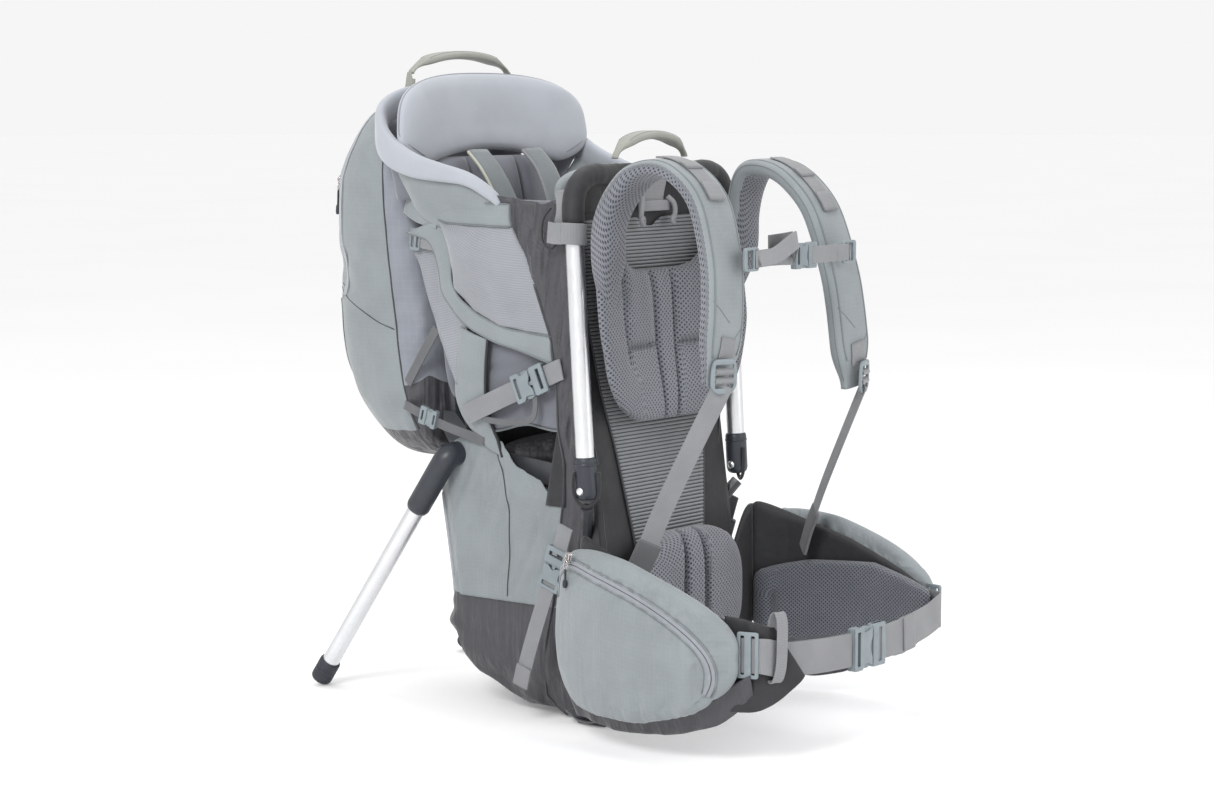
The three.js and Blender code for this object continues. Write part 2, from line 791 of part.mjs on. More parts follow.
function sternumSlider(side, label) {
  const span = side > 0 ? [46, 112] : [-112, -24];
  const clip = box(around(side * 99, 26), [STERNUM_Y - 4, STERNUM_Y + 5], around(STERNUM_Z, 24));
  const web = box(span, around(STERNUM_Y, WEBBING), around(STERNUM_Z, 19));
  add(`sternum_strap_${label}`, join(clip, web), WEB);
}

const STERNUM_BUCKLE = [27, 9, 26];
const STERNUM_MOUTH = [6, STERNUM_Y, STERNUM_Z];

// ---- assembly -----------------------------------------------------------------------------

upperFrame();
pair(uprightCap);
lowerFrame();
baseSkid();
pair(kickstandPlate);
rearHoop();
kickstandCross();
pair(kickstandElbow);
pair(kickstandLeg);
pair(kickstandFoot);
backPanel();
lumbarPad();
hipBeltBand();
pair(hipWing);
pair(hipPocket);
pair(pocketZip);
beltWebbing(-1, 'right', 41);
beltWebbing(1, 'left', 62);
buckleFemale('belt_buckle_female', BELT_MOUTH, BELT_BUCKLE);
buckleMale('belt_buckle_male', BELT_MOUTH, BELT_BUCKLE, [96, BELT_HEIGHT]);
lowerCompartment();
pair(sideWall);
pair(sidePocket);
cockpitBack();
cockpitRim();
headrestPad();
droolPad();
daypack();
daypackZip();
childSeat();
childHarness();
haulHandle('rear_haul_handle', 90, 302, 741.5, 24);
haulHandle('front_haul_handle', 66, 14, 645, 23);
pair(sideStrap);
pair(compressionStrap);
yokePad();
pair(shoulderStrap);
pair(ladderLock);
pair(lowerWebbing);
pair(sternumSlider);
buckleFemale('sternum_buckle_female', STERNUM_MOUTH, STERNUM_BUCKLE);
buckleMale('sternum_buckle_male', STERNUM_MOUTH, STERNUM_BUCKLE, [62, 19]);

export default carrier;
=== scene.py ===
"""Child carrier backpack: soft goods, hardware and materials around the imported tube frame.

Shapes are given in millimetres in the part's own frame and become metres when a mesh is made.
+Z is up, -Y is the wearer's side, +Y the day pack's, and -X is the side that the camera sees.
"""
import math

import bmesh
import bpy
import numpy as np
from mathutils import Matrix, Vector
from mathutils.bvhtree import BVHTree


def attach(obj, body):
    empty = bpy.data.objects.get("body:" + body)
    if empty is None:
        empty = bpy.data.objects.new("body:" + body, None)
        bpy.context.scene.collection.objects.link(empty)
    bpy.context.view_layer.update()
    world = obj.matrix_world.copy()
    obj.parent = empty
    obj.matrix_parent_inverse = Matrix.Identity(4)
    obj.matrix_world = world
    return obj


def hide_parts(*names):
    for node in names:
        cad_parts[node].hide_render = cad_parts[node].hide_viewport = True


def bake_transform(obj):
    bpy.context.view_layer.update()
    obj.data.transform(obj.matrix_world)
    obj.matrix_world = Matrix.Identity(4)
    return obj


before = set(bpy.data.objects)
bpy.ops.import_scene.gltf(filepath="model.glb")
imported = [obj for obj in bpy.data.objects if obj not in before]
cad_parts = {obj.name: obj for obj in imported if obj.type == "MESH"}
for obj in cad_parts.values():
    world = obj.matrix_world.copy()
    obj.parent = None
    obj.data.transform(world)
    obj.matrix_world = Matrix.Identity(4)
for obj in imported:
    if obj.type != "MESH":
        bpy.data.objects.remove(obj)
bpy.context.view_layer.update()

# ---- driving dimensions, millimetres ---------------------------------------------------------

MM = 0.001
SIDES = {"left": 1, "right": -1}
ENDS = (("right", -1), ("left", 1))
FORWARD = (0, -1, 0)
UPWARD = (0, 0, 1)
X_AXIS = np.array([1.0, 0.0, 0.0])
MIRROR = np.array([-1, 1, 1])
GROUND_GAP = 1.5

TUBE = 10.5
UPRIGHT_X = 145
UPRIGHT_BOTTOM = 286
UPRIGHT_TOP = 628
UPRIGHT_LEAN = 0.061
UPRIGHT_FOOT_Y = -7
TOP_BEND = 45

HINGE_Y, HINGE_Z = 207, 299
LEG_X = 135
LEG_TILT = math.radians(35.5)
ELBOW_REACH = 84
FOOT_RADIUS = 13
LEG_END = (HINGE_Z - FOOT_RADIUS * math.sin(LEG_TILT)) / math.cos(LEG_TILT)

STRAP_WIDTH = 66
STRAP_THICK = 20
STRAP_PATH = [(-14, 468), (-21, 505), (-25, 538), (-27, 575), (-38, 606), (-58, 630), (-92, 638),
              (-122, 628), (-150, 600), (-169, 545), (-176, 500), (-178, 450), (-176, 404)]
STRAP_SAG = {"left": 22, "right": 0}
LOCK_Y, LOCK_Z = -192.5, 416
STERNUM_Y, STERNUM_Z = -198, 540
YOKE_LOW, YOKE_HIGH = 346, 532

WING_LINE = [np.array(p, float) for p in ((150, -19), (196, -140), (156, -268))]
WING_THICK = 20
PAINT = 0.82
BELT_Y, BELT_Z, BELT_HEIGHT = -288, 112, 38
BELT_BOW = 172

PACK_LOW, PACK_HIGH = 288, 704
GUSSET_SHARE = 0.26
BASE_LOW, BASE_HIGH = 3, 262
DARK_TOP = 133
BASE_LIMIT, SIDE_LIMIT = 115.4, 118.6

# ---- numbers and lines -----------------------------------------------------------------------


def profile(pairs, at):
    """Straight pieces between (at, value) pairs."""
    table = np.array(pairs, float)
    return np.interp(at, table[:, 0], table[:, 1])


def mix(a, b, t):
    return a + (b - a) * t


def unit(v):
    v = np.asarray(v, float)
    return v / np.maximum(np.linalg.norm(v, axis=-1, keepdims=True), 1e-9)


def step(low, high, x):
    """0 below low, 1 above high, and smooth between."""
    t = np.clip((x - low) / (high - low), 0, 1)
    return t * t * (3 - 2 * t)


def evenly(points, count):
    """`count` points at equal distances along a line of points."""
    points = np.asarray(points, float)
    reach = np.concatenate([[0], np.cumsum(np.linalg.norm(np.diff(points, axis=0), axis=1))])
    at = np.linspace(0, reach[-1], count)
    return np.stack([np.interp(at, reach, points[:, k]) for k in range(points.shape[1])], 1)


def spline(points, count=40):
    """A smooth line through the points."""
    p = np.asarray(points, float)
    ends = np.vstack([2 * p[0] - p[1], p, 2 * p[-1] - p[-2]])
    t = np.linspace(0, 1, 24, endpoint=False)[:, None]
    runs = [
        0.5 * (2 * b + (c - a) * t + (2 * a - 5 * b + 4 * c - d) * t**2 + (3 * b - a - 3 * c + d) * t**3)
        for a, b, c, d in zip(ends, ends[1:], ends[2:], ends[3:])
    ]
    return evenly(np.vstack(runs + [p[-1:]]), count)


def bend(before, corner, after, radius, share, count):
    """Points round a corner; the bend takes up at most `share` of each side."""
    t = np.linspace(0, 1, count)[:, None]
    reach = min(radius, share * np.linalg.norm(before - corner), share * np.linalg.norm(after - corner))
    start = corner + unit(before - corner) * reach
    end = corner + unit(after - corner) * reach
    return list((1 - t) ** 2 * start + 2 * t * (1 - t) * corner + t**2 * end)


def side_spline(side, points, count):
    """A smooth line through points whose x is measured outward on one side."""
    return spline(np.array(points, float) * (side, 1, 1), count)


def rounded(points, radius, count=60):
    """Straight runs with each corner rounded."""
    p = np.asarray(points, float)
    line = [p[0]]
    for before, corner, after in zip(p, p[1:], p[2:]):
        line += bend(before, corner, after, radius, 0.49, 12)
    return evenly(np.array(line + [p[-1]]), count)


def ripple(a, b, size, seed, waves=7):
    """Smooth noise of about -1 to 1 over two coordinates; `size` is its wavelength, or one for each."""
    random = np.random.default_rng(seed)
    size_a, size_b = np.broadcast_to(size, 2)
    total = 0
    for _ in range(waves):
        turn, phase = random.uniform(0, 2 * math.pi, 2)
        pitch = random.uniform(0.6, 1.5)
        reach = a * math.cos(turn) / size_a + b * math.sin(turn) / size_b
        total = total + np.sin(2 * math.pi * pitch * reach + phase)
    return total / waves**0.5 / 1.4


def grid(rows, columns):
    """Two coordinates over a grid; each argument is (start, end, count)."""
    return np.meshgrid(np.linspace(*rows), np.linspace(*columns), indexing="ij")


def sided(side, x, y, z):
    """Points with x measured outward on one side."""
    return np.stack([side * x, y, z], -1)


def groove(distance, width, depth):
    """Factor that sinks a pad along a line."""
    return 1 - depth * np.exp(-((distance / width) ** 2))


def ruled(first, last, count):
    """A grid from one line to another, and the share of the way across it."""
    t = np.linspace(0, 1, count)[None, :, None]
    return mix(first[:, None], last[:, None], t), t[..., 0]


def edge_line(side, x, y, z, column, lift):
    """One column of a side cloth's grid, moved outward by `lift`."""
    return sided(side, x[:, column] + lift, y[:, column], z[:, column])


def squared(u, v, power):
    """Moves a grid of the unit square on to a superellipse, which rounds its corners."""
    size = (np.abs(u) ** power + np.abs(v) ** power) ** (1 / power)
    scale = np.maximum(np.abs(u), np.abs(v)) / np.maximum(size, 1e-9)
    return u * scale, v * scale


def arc(points, axis):
    """Distance along one axis of a grid of points, from its middle."""
    steps = np.linalg.norm(np.diff(points, axis=axis), axis=2)
    start = np.zeros_like(np.take(steps, [0], axis=axis))
    total = np.concatenate([start, np.cumsum(steps, axis=axis)], axis=axis)
    return total - np.take(total, [total.shape[axis] // 2], axis=axis)


def grid_normals(points):
    rows = np.gradient(points, axis=0)
    cols = np.gradient(points, axis=1)
    return unit(np.cross(rows, cols))


# ---- meshes ----------------------------------------------------------------------------------


class Surface:
    """Gathers grids of points, in millimetres, into one mesh with a UV map in metres."""

    def __init__(self):
        self.points, self.faces, self.uvs, self.slots = [], [], [], []
        self.total = 0

    def grid(self, points, slot=0, wrap=False):
        """Quads over rows and columns of points. `wrap` joins the last column to the first."""
        points = np.asarray(points, float)
        rows, cols = points.shape[:2]
        index = self.total + np.arange(rows * cols).reshape(rows, cols)
        self.points.append(points.reshape(-1, 3))
        self.total += rows * cols
        if wrap:
            index = np.hstack([index, index[:, :1]])
            points = np.hstack([points, points[:, :1]])
        uv = np.stack([arc(points, 1), arc(points, 0)], -1) * MM
        near, far = slice(0, -1), slice(1, None)
        corners = [(near, near), (near, far), (far, far), (far, near)]
        self.faces += np.stack([index[c] for c in corners], -1).reshape(-1, 4).tolist()
        self.uvs.append(np.stack([uv[c] for c in corners], 2).reshape(-1, 2))
        self.slots += np.broadcast_to(slot, (index.shape[0] - 1, index.shape[1] - 1)).ravel().tolist()
        return index

    def cap(self, ring, slot=0):
        """One face over a ring of points."""
        ring = [int(i) for i in ring]
        self.faces.append(ring)
        self.uvs.append(np.zeros((len(ring), 2)))
        self.slots.append(slot)

    def build(self, name, materials):
        mesh = bpy.data.meshes.new(name)
        mesh.from_pydata((np.vstack(self.points) * MM).tolist(), [], self.faces)
        mesh.uv_layers.new(name="Surface").data.foreach_set("uv", np.vstack(self.uvs).ravel())
        for material in materials:
            mesh.materials.append(material)
        mesh.polygons.foreach_set("material_index", self.slots)
        tidy(mesh)
        return linked(name, mesh)


def linked(name, mesh):
    piece = bpy.data.objects.new(name, mesh)
    bpy.context.scene.collection.objects.link(piece)
    return piece


def tidy(mesh, smooth=True):
    """Welds coincident points, drops faces with no area and turns the normals out."""
    work = bmesh.new()
    work.from_mesh(mesh)
    bmesh.ops.remove_doubles(work, verts=work.verts, dist=2e-5)
    bmesh.ops.dissolve_degenerate(work, edges=work.edges, dist=1e-6)
    bmesh.ops.recalc_face_normals(work, faces=work.faces)
    for face in work.faces:
        face.smooth = smooth
    work.to_mesh(mesh)
    work.free()


def subdivide(piece):
    """Smooths the piece by one level of subdivision."""
    modifier = piece.modifiers.new("Subdivision", "SUBSURF")
    modifier.levels = 1
    graph = bpy.context.evaluated_depsgraph_get()
    mesh = bpy.data.meshes.new_from_object(piece.evaluated_get(graph))
    piece.modifiers.clear()
    piece.data = mesh


def oval(width, thick, power=2.0, count=24):
    """A closed superellipse section, as (across, out) points."""
    angle = np.linspace(0, 2 * math.pi, count, endpoint=False)
    c, s = np.cos(angle), np.sin(angle)
    across = np.sign(c) * np.abs(c) ** (2 / power) * width / 2
    out = np.sign(s) * np.abs(s) ** (2 / power) * thick / 2
    return np.stack([across, out], 1)


def rounds(radii, count=32):
    """One round section for each radius."""
    return np.stack([oval(r * 2, r * 2, 2, count) for r in radii])


def ovals(widths, thicks, power, count):
    """One oval section for each width and thickness."""
    return np.stack([oval(w, t, power, count) for w, t in np.broadcast(widths, thicks)])


def sweep(surface, path, section, up=None, across=None, slot=0):
    """Carries a closed section along a path. `up` is the way its face looks."""
    path = np.asarray(path, float)
    along = unit(np.gradient(path, axis=0))
    if across is None:
        across = unit(np.cross(along, np.broadcast_to(up, path.shape)))
        out = np.cross(across, along)
    else:
        out = unit(np.cross(along, np.broadcast_to(across, path.shape)))
        across = np.cross(out, along)
    section = np.broadcast_to(section, (len(path),) + np.shape(section)[-2:])
    rows = path[:, None] + across[:, None] * section[..., :1] + out[:, None] * section[..., 1:]
    index = surface.grid(rows, slot, wrap=True)
    end_slot = int(np.ravel(slot)[0])
    surface.cap(index[0, :-1][::-1], end_slot)
    surface.cap(index[-1, :-1], end_slot)
    return rows


def block(cells, power, place, slot=None):
    """A subdivided cube, rounded by `power` and moved to place(u, v, w)."""
    surface = Surface()
    lines = [np.linspace(-1, 1, n + 1) for n in cells]
    for axis in range(3):
        a, b = [k for k in range(3) if k != axis]
        first, second = np.meshgrid(lines[a], lines[b], indexing="ij")
        for end in (-1, 1):
            cube = np.zeros(first.shape + (3,))
            cube[..., a], cube[..., b], cube[..., axis] = first, second, end
            size = (np.abs(cube) ** power).sum(-1, keepdims=True) ** (1 / power)
            soft = cube / size
            middle = (cube[:-1, :-1] + cube[1:, 1:]) / 2
            chosen = slot(middle[..., 0], middle[..., 1], middle[..., 2]) if slot else 0
            surface.grid(place(soft[..., 0], soft[..., 1], soft[..., 2]), chosen)
    return surface


def pillow(place, front, back, cells, power):
    """A closed pad around the sheet place(u, v), with a thickness function on each side."""
    u, v = grid((-1, 1, cells[0] + 1), (-1, 1, cells[1] + 1))
    u, v = squared(u, v, power)
    sheet = place(u, v)
    normal = grid_normals(sheet)
    surface = Surface()
    surface.grid(sheet + normal * front(u, v)[..., None])
    surface.grid(sheet - normal * back(u, v)[..., None])
    return surface


def edge(u, v, power=6, fall=2.5):
    """1 in the middle of the unit square, and 0 on its rounded edge."""
    size = (np.abs(u) ** power + np.abs(v) ** power) ** (1 / power)
    return np.clip(1 - size**power, 0, 1) ** (1 / fall)


def panel(surface, points, thick):
    """A thin closed sheet over a grid of points."""
    points = np.asarray(points, float)
    normal = grid_normals(points) * thick / 2
    surface.grid(points + normal)
    surface.grid(points - normal)
    for rim in (np.s_[0, :], np.s_[-1, :], np.s_[:, 0], np.s_[:, -1]):
        surface.grid(np.stack([points[rim] + normal[rim], points[rim] - normal[rim]]))


def plate(outlines, thick, bevel=0.6):
    """A flat moulded plate: the first outline is its edge and the others are holes."""
    curve = bpy.data.curves.new("plate", "CURVE")
    curve.dimensions = "2D"
    curve.fill_mode = "BOTH"
    curve.extrude = (thick / 2 - bevel) * MM
    curve.bevel_depth = bevel * MM
    curve.bevel_resolution = 2
    curve.offset = -bevel * MM
    for outline in outlines:
        line = curve.splines.new("POLY")
        line.points.add(len(outline) - 1)
        for point, (x, y) in zip(line.points, outline):
            point.co = (x * MM, y * MM, 0, 1)
        line.use_cyclic_u = True
    holder = linked("plate", curve)
    graph = bpy.context.evaluated_depsgraph_get()
    mesh = bpy.data.meshes.new_from_object(holder.evaluated_get(graph))
    bpy.data.objects.remove(holder)
    tidy(mesh, smooth=False)
    return mesh


def corners(points, radius=2.0, count=5):
    """A closed outline with rounded corners."""
    p = np.asarray(points, float)
    line = []
    for before, corner, after in zip(np.roll(p, 1, 0), p, np.roll(p, -1, 0)):
        line += bend(before, corner, after, radius, 0.45, count)
    return line


def mirrored(line):
    """The outline's points on the other side of its axis, in reverse."""
    return [(x, -y) for x, y in reversed(line)]


def slab(x, y, radius=2.0):
    """A rounded rectangle over two ranges."""
    return corners([(x[0], y[0]), (x[1], y[0]), (x[1], y[1]), (x[0], y[1])], radius)


def assemble(name, parts, material, at, x_axis, out):
    """Joins flat plates into one moulded piece at `at`; each part is (mesh, height above the base)."""
    x_axis = unit(x_axis)
    y_axis = unit(np.cross(out, x_axis))
    out = np.cross(x_axis, y_axis)
    turn = Matrix([list(row) for row in np.stack([x_axis, y_axis, out], 1)]).to_4x4()
    work = bmesh.new()
    for mesh, height in parts:
        place = Matrix.Translation(Vector(at) * MM) @ turn @ Matrix.Translation((0, 0, height * MM))
        mesh.transform(place)
        work.from_mesh(mesh)
        bpy.data.meshes.remove(mesh)
    mesh = bpy.data.meshes.new(name)
    work.to_mesh(mesh)
    work.free()
    mesh.materials.append(material)
    mesh.shade_smooth()
    mesh.set_sharp_from_angle(angle=math.radians(35))
    return linked(name, mesh)


def fit(piece, body, slot, replaces=(), fill=None, cut=None, held=None):
    """Rides a finished piece on its body and hides the parts that it replaces.

    The slot, which says what the piece stands for, is not used; nor are a pad's fill and a single layer of
    cloth's grid of points and how it is held.
    A piece that crosses a joint has (body, other body, start, end) in place of its body's name; it then
    rides on no body, and what the tuple holds is not used."""
    if isinstance(body, tuple):
        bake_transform(piece)
    else:
        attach(piece, body)
    if replaces:
        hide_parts(*replaces)
    return piece


def pad(surface, name, looks, slot, node=None, fill=0.7, body="frame", puff=None):
    """A finished pad. `puff` holds what inflate() needs."""
    piece = surface.build(name, looks)
    if puff:
        inflate(piece, *puff)
    subdivide(piece)
    return fit(piece, body, slot, [node] if node else (), fill)


def swept(name, look, path, section, body, slot, up=None, across=None, **use):
    """A finished piece with a section carried along a path."""
    surface = Surface()
    sweep(surface, path, section, up=up, across=across)
    return fit(surface.build(name, [look]), body, slot, **use)


def cloth(name, look, points, thick, slot, replaces=(), held=None):
    """A finished layer on the frame over a grid of points."""
    surface = Surface()
    panel(surface, points, thick)
    cut = points if held else None
    return fit(surface.build(name, [look]), "frame", slot, replaces, cut=cut, held=held)


class Skin:
    """A finished piece's surface, to lay seams and trim on."""

    def __init__(self, piece):
        graph = bpy.context.evaluated_depsgraph_get()
        self.tree = BVHTree.FromObject(piece, graph)

    def lay(self, path, lift=0.0, toward=None):
        """The path moved on to the surface, and the surface's normals there."""
        points, normals = [], []
        for p in np.asarray(path, float):
            hit = None
            if toward is not None:
                way = Vector(toward).normalized()
                hit = self.tree.ray_cast(Vector(p) * MM - way * 0.12, way)
                hit = hit if hit[0] is not None else None
            hit = hit or self.tree.find_nearest(Vector(p) * MM)
            points.append(np.array(hit[0]) / MM)
            normals.append(np.array(hit[1]))
        points, normals = np.array(points), np.array(normals)
        for _ in range(2):
            normals[1:-1] = (normals[:-2] + normals[1:-1] + normals[2:]) / 3
            points[1:-1] = (points[:-2] + points[1:-1] * 2 + points[2:]) / 4
        normals = unit(normals)
        return points + normals * lift, normals


# ---- cloth -----------------------------------------------------------------------------------


def read_points(piece):
    """The piece's points, in metres."""
    points = np.zeros(len(piece.data.vertices) * 3, np.float32)
    piece.data.vertices.foreach_get("co", points)
    return points.reshape(-1, 3)


def write_points(piece, points):
    piece.data.vertices.foreach_set("co", points.ravel())
    piece.data.update()


def near_points(piece, test):
    """Numbers of the piece's points whose place in millimetres passes the test."""
    return np.nonzero(test(*(read_points(piece).astype(float) / MM).T))[0]


def inflate(piece, pinned, pressure, extra, most, frames=20):
    """Fills a closed pad by cloth simulation and keeps the result.

    `pinned` is a test for the points that stay, `extra` the share of cloth to spare, and `most` the
    furthest that a point moves, in millimetres."""
    scene = bpy.context.scene
    group = piece.vertex_groups.new(name="pin")
    group.add([int(i) for i in near_points(piece, pinned)], 1.0, "REPLACE")
    modifier = piece.modifiers.new("Cloth", "CLOTH")
    settings = modifier.settings
    settings.quality = 6
    settings.mass = 0.15
    settings.tension_stiffness = settings.compression_stiffness = 12
    settings.shear_stiffness = 3
    settings.bending_stiffness = 0.05
    settings.use_pressure = True
    settings.uniform_pressure_force = pressure
    settings.shrink_min = -extra
    settings.effector_weights.gravity = 0
    settings.vertex_group_mass = "pin"
    modifier.point_cache.frame_start = 1
    modifier.point_cache.frame_end = frames
    for number in range(1, frames + 1):
        scene.frame_set(number)
    graph = bpy.context.evaluated_depsgraph_get()
    rest = read_points(piece)
    shift = read_points(piece.evaluated_get(graph)) - rest
    length = np.linalg.norm(shift, axis=1, keepdims=True)
    shift *= np.minimum(1, most * MM / np.maximum(length, 1e-9))
    piece.modifiers.clear()
    piece.vertex_groups.clear()
    write_points(piece, rest + shift)
    scene.frame_set(1)


# ---- materials -------------------------------------------------------------------------------


def linear(rgb):
    """sRGB numbers from 0 to 255 as a linear colour, dimmed to suit the studio lights."""
    c = np.array(rgb, float) / 255
    c = np.where(c <= 0.04045, c / 12.92, ((c + 0.055) / 1.055) ** 2.4)
    return (*(c * PAINT), 1.0)


def shade(rgb, factor):
    return linear([c * factor for c in rgb])


class Look:
    """A node material under construction."""

    def __init__(self, name, roughness=0.6, sheen=0.0, metallic=0.0):
        self.material = bpy.data.materials.new(name)
        self.material.use_nodes = True
        self.tree = self.material.node_tree
        self.shader = self.tree.nodes["Principled BSDF"]
        values = {"Roughness": roughness, "Metallic": metallic, "Sheen Weight": sheen,
                  "Sheen Roughness": 0.45}
        for key, value in values.items():
            self.shader.inputs[key].default_value = value

    def node(self, kind, inputs=None, **settings):
        made = self.tree.nodes.new("ShaderNode" + kind)
        for key, value in settings.items():
            setattr(made, key, value)
        for key, value in (inputs or {}).items():
            if isinstance(value, bpy.types.NodeSocket):
                self.tree.links.new(value, made.inputs[key])
            else:
                made.inputs[key].default_value = value
        return made

    def math(self, operation, a, b=0.0, c=0.0):
        return self.node("Math", {0: a, 1: b, 2: c}, operation=operation).outputs[0]

    def vector(self, operation, a, b=(0, 0, 0)):
        made = self.node("VectorMath", {0: a, 1: b}, operation=operation)
        return made.outputs["Value" if operation == "LENGTH" else "Vector"]

    def cloth_place(self, pitch, turn=0.0, stretch=(1, 1)):
        """The piece's UV map, with one unit for each `pitch` millimetres."""
        place = self.node("UVMap", uv_map="Surface").outputs["UV"]
        scale = (stretch[0] / (pitch * MM), stretch[1] / (pitch * MM), 1)
        return self.node("Mapping", {"Vector": place, "Rotation": (0, 0, turn), "Scale": scale}).outputs[0]

    def object_place(self):
        return self.node("TexCoord").outputs["Object"]

    def noise(self, size, detail=3.0, stretch=(1, 1, 1)):
        """Noise from 0 to 1 with features of `size` millimetres."""
        scale = tuple(k / (size * MM) for k in stretch)
        place = self.node("Mapping", {"Vector": self.object_place(), "Scale": scale}).outputs[0]
        return self.node("TexNoise", {"Vector": place, "Scale": 1.0, "Detail": detail}).outputs["Fac"]

    def remap(self, value, low, high, to_low=0.0, to_high=1.0):
        inputs = {"Value": value, "From Min": low, "From Max": high, "To Min": to_low, "To Max": to_high}
        return self.node("MapRange", inputs, interpolation_type="SMOOTHSTEP").outputs[0]

    def blend(self, share, first, second):
        inputs = {"Factor": share, 6: first, 7: second}
        return self.node("Mix", inputs, data_type="RGBA").outputs[2]

    def tint(self, colour, share, most, other):
        """The colour, moved towards the other by a share of at most `most`."""
        return self.blend(self.math("MULTIPLY", share, most), colour, other)

    def waves(self, place):
        """Sines across and along, from 0 to 1."""
        parts = self.node("SeparateXYZ", {0: place})
        turns = [self.math("MULTIPLY", parts.outputs[k], 2 * math.pi) for k in range(2)]
        return [self.math("MULTIPLY_ADD", self.math("SINE", t), 0.5, 0.5) for t in turns]

    def dots(self, place, radius=0.28, soft=0.12):
        """1 on staggered round dots, one for each unit, and 0 between."""
        nearest = None
        for shift in ((0, 0, 0), (0.5, 0.5, 0)):
            cell = self.vector("FRACTION", self.vector("ADD", place, shift))
            flat = self.vector("MULTIPLY", self.vector("SUBTRACT", cell, (0.5, 0.5, 0)), (1, 1, 0))
            far = self.vector("LENGTH", flat)
            nearest = far if nearest is None else self.math("MINIMUM", nearest, far)
        return self.remap(nearest, radius, radius - soft)

    def bump(self, height, distance, strength=1.0, normal=None):
        inputs = {"Height": height, "Distance": distance * MM, "Strength": strength}
        if normal is not None:
            inputs["Normal"] = normal
        return self.node("Bump", inputs).outputs[0]

    def finish(self, colour, normal=None, roughness=None):
        self.tree.links.new(colour, self.shader.inputs["Base Color"])
        if normal is not None:
            self.tree.links.new(normal, self.shader.inputs["Normal"])
        if roughness is not None:
            self.tree.links.new(roughness, self.shader.inputs["Roughness"])
        return self.material


def aged(look, rgb, patch=45, change=0.10, wear=0.06):
    """The base colour with soft patches and a little dust, as used cloth has."""
    base = np.array(linear(rgb))
    dark = tuple(base[:3] * (1 - change)) + (1.0,)
    light = tuple(np.minimum(base[:3] * (1 + change), 1)) + (1.0,)
    dusty = tuple(np.minimum(base[:3] * (1 + wear) + wear * 0.3, 1)) + (1.0,)
    colour = look.blend(look.remap(look.noise(patch), 0.3, 0.7), dark, light)
    dust = look.remap(look.noise(11, 6.0), 0.56, 0.78, 0.0, 0.5)
    return look.blend(dust, colour, dusty)


def woven(name, rgb, pitch=0.9, ripstop=5.0, roughness=0.62, sheen=0.25, crease=0.6, change=0.07,
          folds=0.8):
    """Plain weave with faint ripstop lines, soft creases, long upright folds and colour patches."""
    look = Look(name, roughness, sheen)
    across, along = look.waves(look.cloth_place(pitch))
    weave = look.math("MULTIPLY", across, along)
    rip_across, rip_along = look.waves(look.cloth_place(ripstop))
    rip = look.remap(look.math("MAXIMUM", rip_across, rip_along), 0.93, 1.0)
    colour = aged(look, rgb, change=change)
    colour = look.tint(colour, look.math("SUBTRACT", 1.0, weave), 0.35, shade(rgb, 0.86))
    colour = look.tint(colour, rip, 0.16, linear(np.minimum(np.array(rgb) * 1.12, 255)))
    height = look.math("MULTIPLY_ADD", rip, 0.5, weave)
    normal = look.bump(look.noise(16, 4.0), crease)
    normal = look.bump(look.noise(15, 2.0, stretch=(1, 1, 0.12)), folds, 0.8, normal)
    normal = look.bump(height, 0.12, 0.7, normal)
    rough = look.remap(look.noise(30), 0.3, 0.7, roughness - 0.06, roughness + 0.06)
    return look.finish(colour, normal, rough)


def knit(name, rgb, roughness=0.8, sheen=0.4):
    """Brushed knit over foam: fine wales, soft nap."""
    look = Look(name, roughness, sheen)
    across, along = look.waves(look.cloth_place(1.1, stretch=(1, 0.6)))
    wales = look.math("MULTIPLY_ADD", along, 0.4, across)
    colour = aged(look, rgb, patch=60, change=0.045, wear=0.04)
    colour = look.tint(colour, wales, 0.10, shade(rgb, 0.85))
    normal = look.bump(look.noise(26, 3.0), 0.5)
    normal = look.bump(wales, 0.08, 0.5, normal)
    normal = look.bump(look.noise(1.2, 2.0), 0.08, 0.5, normal)
    return look.finish(colour, normal)


def spacer_mesh(name, rgb, hole, pitch=5.2, radius=0.27, roughness=0.85):
    """Spacer mesh with staggered holes."""
    look = Look(name, roughness, 0.3)
    place = look.cloth_place(pitch, stretch=(1, 0.86))
    holes = look.dots(place, radius)
    across, along = look.waves(look.cloth_place(0.8))
    colour = aged(look, rgb, change=0.06)
    colour = look.tint(colour, across, 0.12, shade(rgb, 0.8))
    colour = look.blend(holes, colour, linear(hole))
    height = look.math("SUBTRACT", look.math("MULTIPLY", look.math("MULTIPLY", across, along), 0.12), holes)
    return look.finish(colour, look.bump(height, 0.9, 0.9))


def ribbed_mesh(name, rgb, gap, pitch=4.2):
    """Open tension mesh: bands across, with dark gaps between, that follow the modelled ribs."""
    look = Look(name, 0.8, 0.2)
    turned = (math.pi / 2, 0, 0)
    scale = (2.2 / (pitch * MM), 1, 1 / (pitch * MM))
    place = look.vector("MULTIPLY", look.object_place(), scale)
    place = look.node("Mapping", {"Vector": place, "Rotation": turned}).outputs[0]
    across, along = look.waves(look.vector("ADD", place, (0, 0.25, 0)))
    fine, _ = look.waves(look.cloth_place(1.4))
    colour = aged(look, rgb, change=0.06)
    colour = look.tint(colour, fine, 0.25, shade(rgb, 0.75))
    slots = look.remap(along, 0.26, 0.08)
    colour = look.blend(slots, colour, linear(gap))
    height = look.math("MULTIPLY_ADD", fine, 0.15, along)
    height = look.math("MULTIPLY_ADD", across, 0.08, height)
    return look.finish(colour, look.bump(height, 0.8, 0.8))


